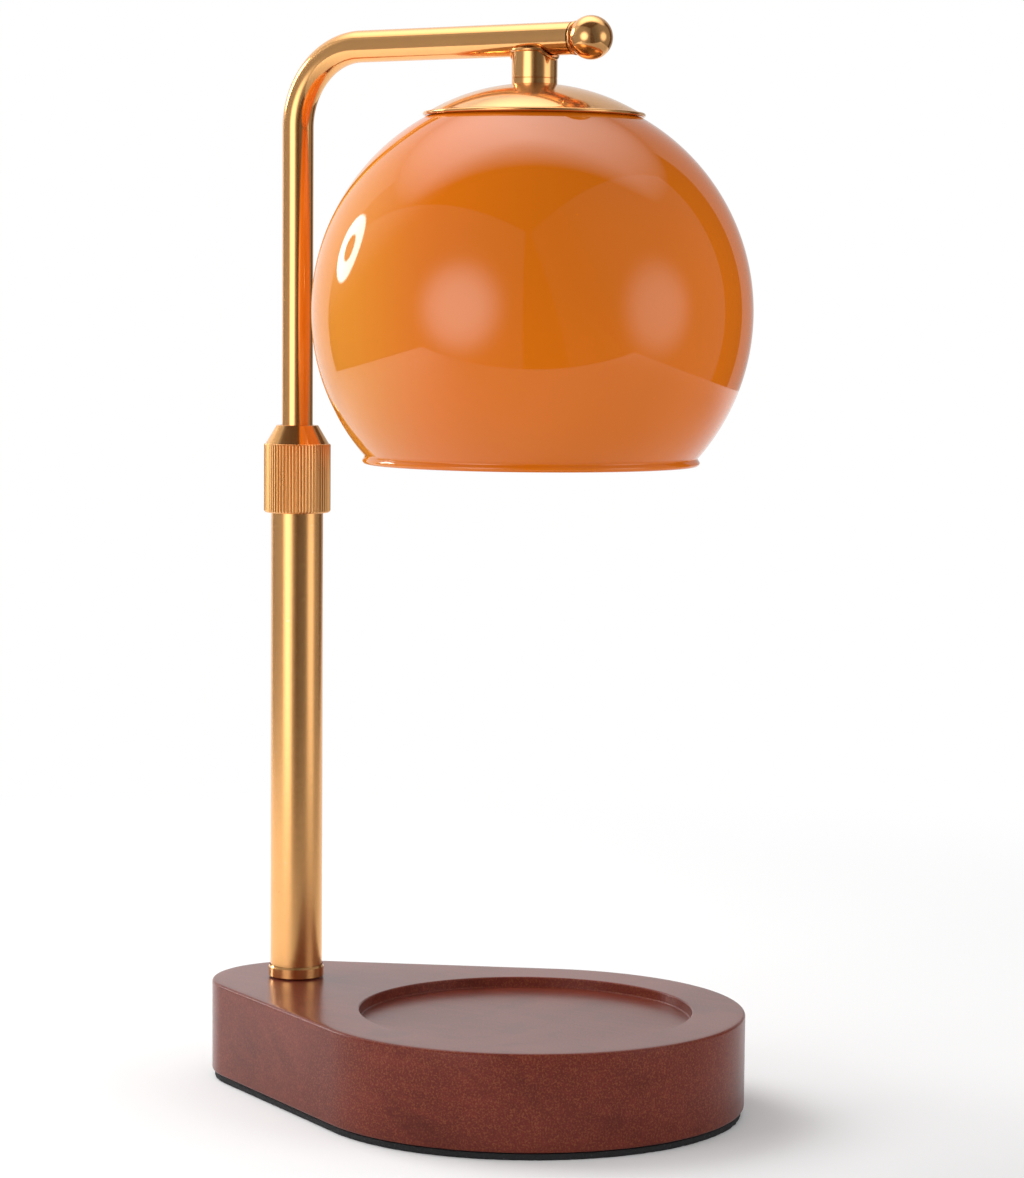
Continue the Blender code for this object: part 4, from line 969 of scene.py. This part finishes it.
class LAMP_OT_reflector(bpy.types.Operator):
    """Add the reflector lamp's faceted bowl and its front glass"""

    bl_idname = "lamp.reflector"
    bl_label = "Reflector Lamp"

    def execute(self, context):
        low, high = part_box("lamp_reflector")
        outer = middle("lamp_reflector").x + half_width("lamp_reflector") - RECESS_X
        glass = context.scene.lamp_sizes.bowl_glass
        rim = 0.0022
        edge = 0.0003
        neck = 0.0097
        throat = 0.0054
        swell = 0.65
        rows = 12
        facets = 36
        depth = high.z - low.z

        def wall(small, large, i, twist=0.0):
            """Radius, height and twist of the bowl's wall, i rows down from its neck."""
            share = i / rows
            return small + (large - small) * share**swell, high.z - share * (depth - rim), twist

        rings = [wall(neck, outer, i) for i in range(rows + 1)]
        rings += [(outer, low.z + edge, 0.0), (outer - edge, low.z, 0.0), (outer - glass, low.z, 0.0)]
        rings += [wall(throat, outer - glass, i, i % 2 * pi / facets) for i in range(rows, -1, -1)]
        work = bmesh.new()
        loops = []
        for r, z, twist in rings:
            turns = [2 * pi * k / facets + twist for k in range(facets)]
            loops.append([work.verts.new((RECESS_X + r * cos(t), r * sin(t), z)) for t in turns])
        for first, second in zip(loops, loops[1:] + loops[:1]):
            for k in range(facets):
                after = (k + 1) % facets
                work.faces.new((first[k], first[after], second[after], second[k]))
        bowl = finished(work, "mirror_bowl")
        add_piece(bowl, mirror_coat(), "arm", ["lamp_reflector"], 4.0)

        low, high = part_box("lamp_lens")
        outer = half_width("lamp_lens")
        crown = 0.0012
        count = 24
        front = [(outer * i / count, low.z + crown * (i / count) ** 2) for i in range(count + 1)]
        profile = front + [(outer, high.z), (0.0, high.z)]
        lens = turned("front_glass", profile, standing(RECESS_X))
        add_piece(lens, clear_glass(), "arm", ["lamp_lens"])
        return {"FINISHED"}


class LAMP_OT_inner_parts(bpy.types.Operator):
    """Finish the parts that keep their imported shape"""

    bl_idname = "lamp.inner_parts"
    bl_label = "Inner Parts"

    def execute(self, context):
        plain_steel()
        moulded("natural_nylon", (0.76, 0.73, 0.64), (0.66, 0.63, 0.54), 0.38, 900.0, 0.00001)
        moulded("black_rubber", (0.030, 0.029, 0.028), (0.014, 0.014, 0.014), 0.52, 1500.0, 0.00002)
        moulded("lead_sleeve", (0.62, 0.47, 0.27), (0.54, 0.39, 0.21), 0.30, 700.0, 0.00001)
        moulded("clear_silicone", (0.72, 0.72, 0.70), (0.62, 0.62, 0.60), 0.36, 700.0, 0.00001)
        moulded("white_ceramic", (0.82, 0.80, 0.74), (0.72, 0.69, 0.62), 0.45, 1600.0, 0.00003)
        finishes = {
            "zinc_plated_steel": "base_rod base_nut spring_washer base_washer foot_plug shade_rod "
            "shade_nut shade_plate bracket_nut holder_bracket holder_screw_left holder_screw_right "
            "lamp_pin_left lamp_pin_right",
            "natural_nylon": "guide_bush clamp_collet",
            "black_rubber": "cord_bushing",
            "lead_sleeve": "base_lead slack_lead arm_lead",
            "clear_silicone": "holder_wire_left holder_wire_right shade_gasket",
            "white_ceramic": "lamp_holder lamp_cap",
            "clear_glass": "lamp_capsule",
            "polished_gold": "clamp_body",
        }
        for finish, names in finishes.items():
            for name in names.split():
                finish_node(name, bpy.data.materials[finish])
        return {"FINISHED"}


class LAMP_OT_stage(bpy.types.Operator):
    """Set the floor, the light and the camera"""

    bl_idname = "lamp.stage"
    bl_label = "Stage"

    def execute(self, context):
        scene = context.scene
        scene.view_settings.view_transform = "Standard"
        self.add_floor(scene)
        self.light_world(scene)
        self.add_lights(scene)
        self.add_camera(scene)
        return {"FINISHED"}

    def add_floor(self, scene):
        """A floor that keeps the lamp's shadow and turns white further out."""
        near = 0.51
        back = -4.0
        left = -0.78
        right = 0.69
        front = toward(0.0, 0.0)
        side = toward(90.0, 0.0)
        work = bmesh.new()
        corners = [(near, right), (near, left), (back, left), (back, right)]
        work.faces.new([work.verts.new(front * a + side * b) for a, b in corners])
        floor = bpy.data.objects.new("studio_floor", finished(work, "studio_floor"))
        floor.data.flip_normals()
        scene.collection.objects.link(floor)
        material, paint, place = new_material("floor_sweep")
        distance = paint.node("VectorMath", {"operation": "LENGTH"}, (place,), output=1)
        ahead = paint.dot(place, tuple(front))
        grain = paint.noise(place, 600.0, 2.0, 0.5)
        colour = scene.lamp_stage.floor_colour
        tone = paint.mix(grain, opaque(colour, 0.985), opaque(colour))
        white = paint.node("Emission", None, {"Color": WHITE, "Strength": 1.0})
        # Painted shade: in reflections the floor is darkened by up to 0.45 towards the front and
        # right, away from the key light at the back left.
        lit_side = paint.dot(place, tuple(toward(-140.0, 0.0)))
        painted_floor_shade = (1.0 - paint.step(lit_side, -0.22, 0.18)) * 0.45
        tone = paint.mix(painted_floor_shade * paint.ray("Is Glossy Ray"), tone, BLACK)
        matte = paint.node("BsdfDiffuse", None, {"Color": tone})
        mirrored = paint.ray("Is Glossy Ray").most(paint.ray("Is Transmission Ray"))
        far = paint.step(distance, 0.30, 0.72).most(paint.step(ahead, 0.25, near))
        far = far * paint.ray("Is Camera Ray") + paint.step(distance, 0.50, 1.10) * mirrored
        surface = paint.node("MixShader", None, (far, matte, white))
        paint.node("OutputMaterial", None, {"Surface": surface})
        floor.data.materials.append(material)

    def light_world(self, scene):
        """White behind the lamp, even light on it, and a studio's lights in its reflections."""
        world = bpy.data.worlds.new("studio")
        scene.world = world
        world.use_nodes = True
        paint = Paint(world.node_tree)
        even = scene.lamp_stage.daylight
        mirrored = paint.ray("Is Glossy Ray").most(paint.ray("Is Transmission Ray"))
        colour = paint.mix(mirrored, (even, even, even, 1.0), self.studio_pattern(paint))
        colour = paint.mix(paint.ray("Is Camera Ray"), colour, WHITE)
        background = paint.node("Background", None, {"Color": colour, "Strength": 1.0})
        paint.node("OutputWorld", None, {"Surface": background})

    def studio_pattern(self, paint):
        """How bright the studio is in each direction from the lamp."""
        direction = paint.coordinates("Generated")

        def along(heading, elevation):
            """1 in a direction, 0 square to it and -1 away from it."""
            return paint.dot(direction, tuple(toward(heading, elevation)))

        def spot(heading, elevation, outer, inner):
            """1 within inner degrees of a heading and elevation, and 0 beyond outer."""
            return paint.step(along(heading, elevation), cos(radians(outer)), cos(radians(inner)))

        def beyond(heading, elevation):
            """1 on the side of a plane through the lamp that a heading and elevation point to."""
            return paint.step(along(heading, elevation), -0.006, 0.006)

        # Two light boxes, each brighter in its middle, and a glow in front of each.
        left_box = beyond(-95.0, 0.0) * (1.0 - beyond(133.0, 40.2))
        left_box = left_box * (0.22 + spot(-70.0, 5.0, 66.0, 15.0) * 0.17)
        right_box = beyond(102.0, 16.0) * (1.0 - beyond(-120.0, 29.0)) * (1.0 - beyond(208.0, 0.0))
        right_box = right_box * (0.13 + spot(100.0, 20.0, 78.0, 25.0) * 0.16)
        left_glow = spot(-38.0, 2.5, 36.0, 0.0) ** 4.0 * 2.3
        right_glow = spot(67.5, 2.5, 31.0, 0.0) ** 3.0 * 1.3

        # An oval light on a level plane overhead, which fades from its middle to its edge.
        up = along(0.0, 90.0)
        height = up.most(0.02)
        across = (along(90.0, 0.0) / height + 0.05) / 1.20
        deep = along(180.0, 0.0) / height - 0.18
        near = deep.least(0.0) / 0.37
        far = deep.most(0.0) / 1.10
        overhead = (1.0 - (across * across + near * near + far * far) ** 0.5).most(0.0) * 3.0
        back_glow = spot(-135.0, 40.0, 45.0, 15.0) * 0.7

        # A pale backdrop, darker high up and to the right, and a ring light.
        backdrop = beyond(139.0, 12.0) * beyond(-131.0, 0.0) * (1.0 - paint.step(up, 0.6, 0.8))
        backdrop = backdrop * (1.0 - paint.step(along(90.0, 0.0), -0.25, 0.5) * 0.6)
        ring = (spot(-120.5, 16.4, 9.8, 8.6) - spot(-120.5, 16.4, 4.2, 3.2)) * 8.0
        level = left_box + right_box + left_glow + right_glow + overhead + back_glow
        level = level.most(backdrop) + ring
        return paint.vector("MAXIMUM", level, (0.09, 0.06, 0.04))

    def add_lights(self, scene):
        stage = scene.lamp_stage
        lights = [
            ("key_light", toward(-125.0, 50.0) * 1.4, (0.9, 0.9), stage.key_power),
            ("side_light", toward(-62.0, 15.0) * 1.1, (0.7, 0.8), stage.side_power),
            ("fill_light", toward(65.0, 18.0) * 1.1, (0.7, 0.8), stage.fill_power),
        ]
        aim = Vector((0.0, 0.0, 0.16))
        for name, place, size, power in lights:
            lamp = bpy.data.lights.new(name, "AREA")
            lamp.shape = "RECTANGLE"
            lamp.size, lamp.size_y = size
            lamp.energy = power
            thing = bpy.data.objects.new(name, lamp)
            thing.location = place
            thing.rotation_euler = (place - aim).to_track_quat("Z", "Y").to_euler()
            thing.visible_glossy = False
            thing.visible_transmission = False
            scene.collection.objects.link(thing)

    def add_camera(self, scene):
        stage = scene.lamp_stage
        roll = radians(CAMERA_ROLL)
        back = toward(0.0, CAMERA_TILT)
        level = toward(90.0, 0.0)
        rise = back.cross(level)
        right = level * cos(roll) + rise * sin(roll)
        up = rise * cos(roll) - level * sin(roll)
        data = bpy.data.cameras.new("studio_camera")
        data.lens = stage.lens
        data.sensor_width = 36.0
        data.shift_y = stage.lens_rise
        data.clip_start = 0.05
        data.clip_end = 20.0
        camera = bpy.data.objects.new("studio_camera", data)
        turn = Matrix((right, up, back)).transposed().to_4x4()
        camera.matrix_world = Matrix.Translation(CAMERA_PLACE) @ turn
        scene.collection.objects.link(camera)
        scene.camera = camera


class LAMP_PT_panel(bpy.types.Panel):
    """Lists the lamp's pieces and settings"""

    bl_idname = "LAMP_PT_panel"
    bl_label = "Candle Warmer Lamp"
    bl_space_type = "VIEW_3D"
    bl_region_type = "UI"
    bl_category = "Lamp"

    def draw(self, context):
        column = self.layout.column(align=True)
        for operator in OPERATORS:
            column.operator(operator.bl_idname)
        for group in (context.scene.lamp_sizes, context.scene.lamp_colours, context.scene.lamp_stage):
            box = self.layout.box()
            for name in group.__annotations__:
                box.prop(group, name)


OPERATORS = (
    LAMP_OT_base_board,
    LAMP_OT_foot_pad,
    LAMP_OT_pole,
    LAMP_OT_clamp_nut,
    LAMP_OT_arm,
    LAMP_OT_drop_stub,
    LAMP_OT_shade,
    LAMP_OT_reflector,
    LAMP_OT_inner_parts,
    LAMP_OT_stage,
)
GROUPS = {"lamp_sizes": LampSizes, "lamp_colours": LampColours, "lamp_stage": LampStage}


def register():
    for group in GROUPS.values():
        bpy.utils.register_class(group)
    for name, group in GROUPS.items():
        setattr(bpy.types.Scene, name, PointerProperty(type=group))
    for operator in OPERATORS:
        bpy.utils.register_class(operator)
    bpy.utils.register_class(LAMP_PT_panel)


def unregister():
    bpy.utils.unregister_class(LAMP_PT_panel)
    for operator in reversed(OPERATORS):
        bpy.utils.unregister_class(operator)
    for name, group in GROUPS.items():
        delattr(bpy.types.Scene, name)
        bpy.utils.unregister_class(group)


def main():
    register()
    for operator in OPERATORS:
        group, name = operator.bl_idname.split(".")
        getattr(getattr(bpy.ops, group), name)()


if __name__ == "__main__":
    main()
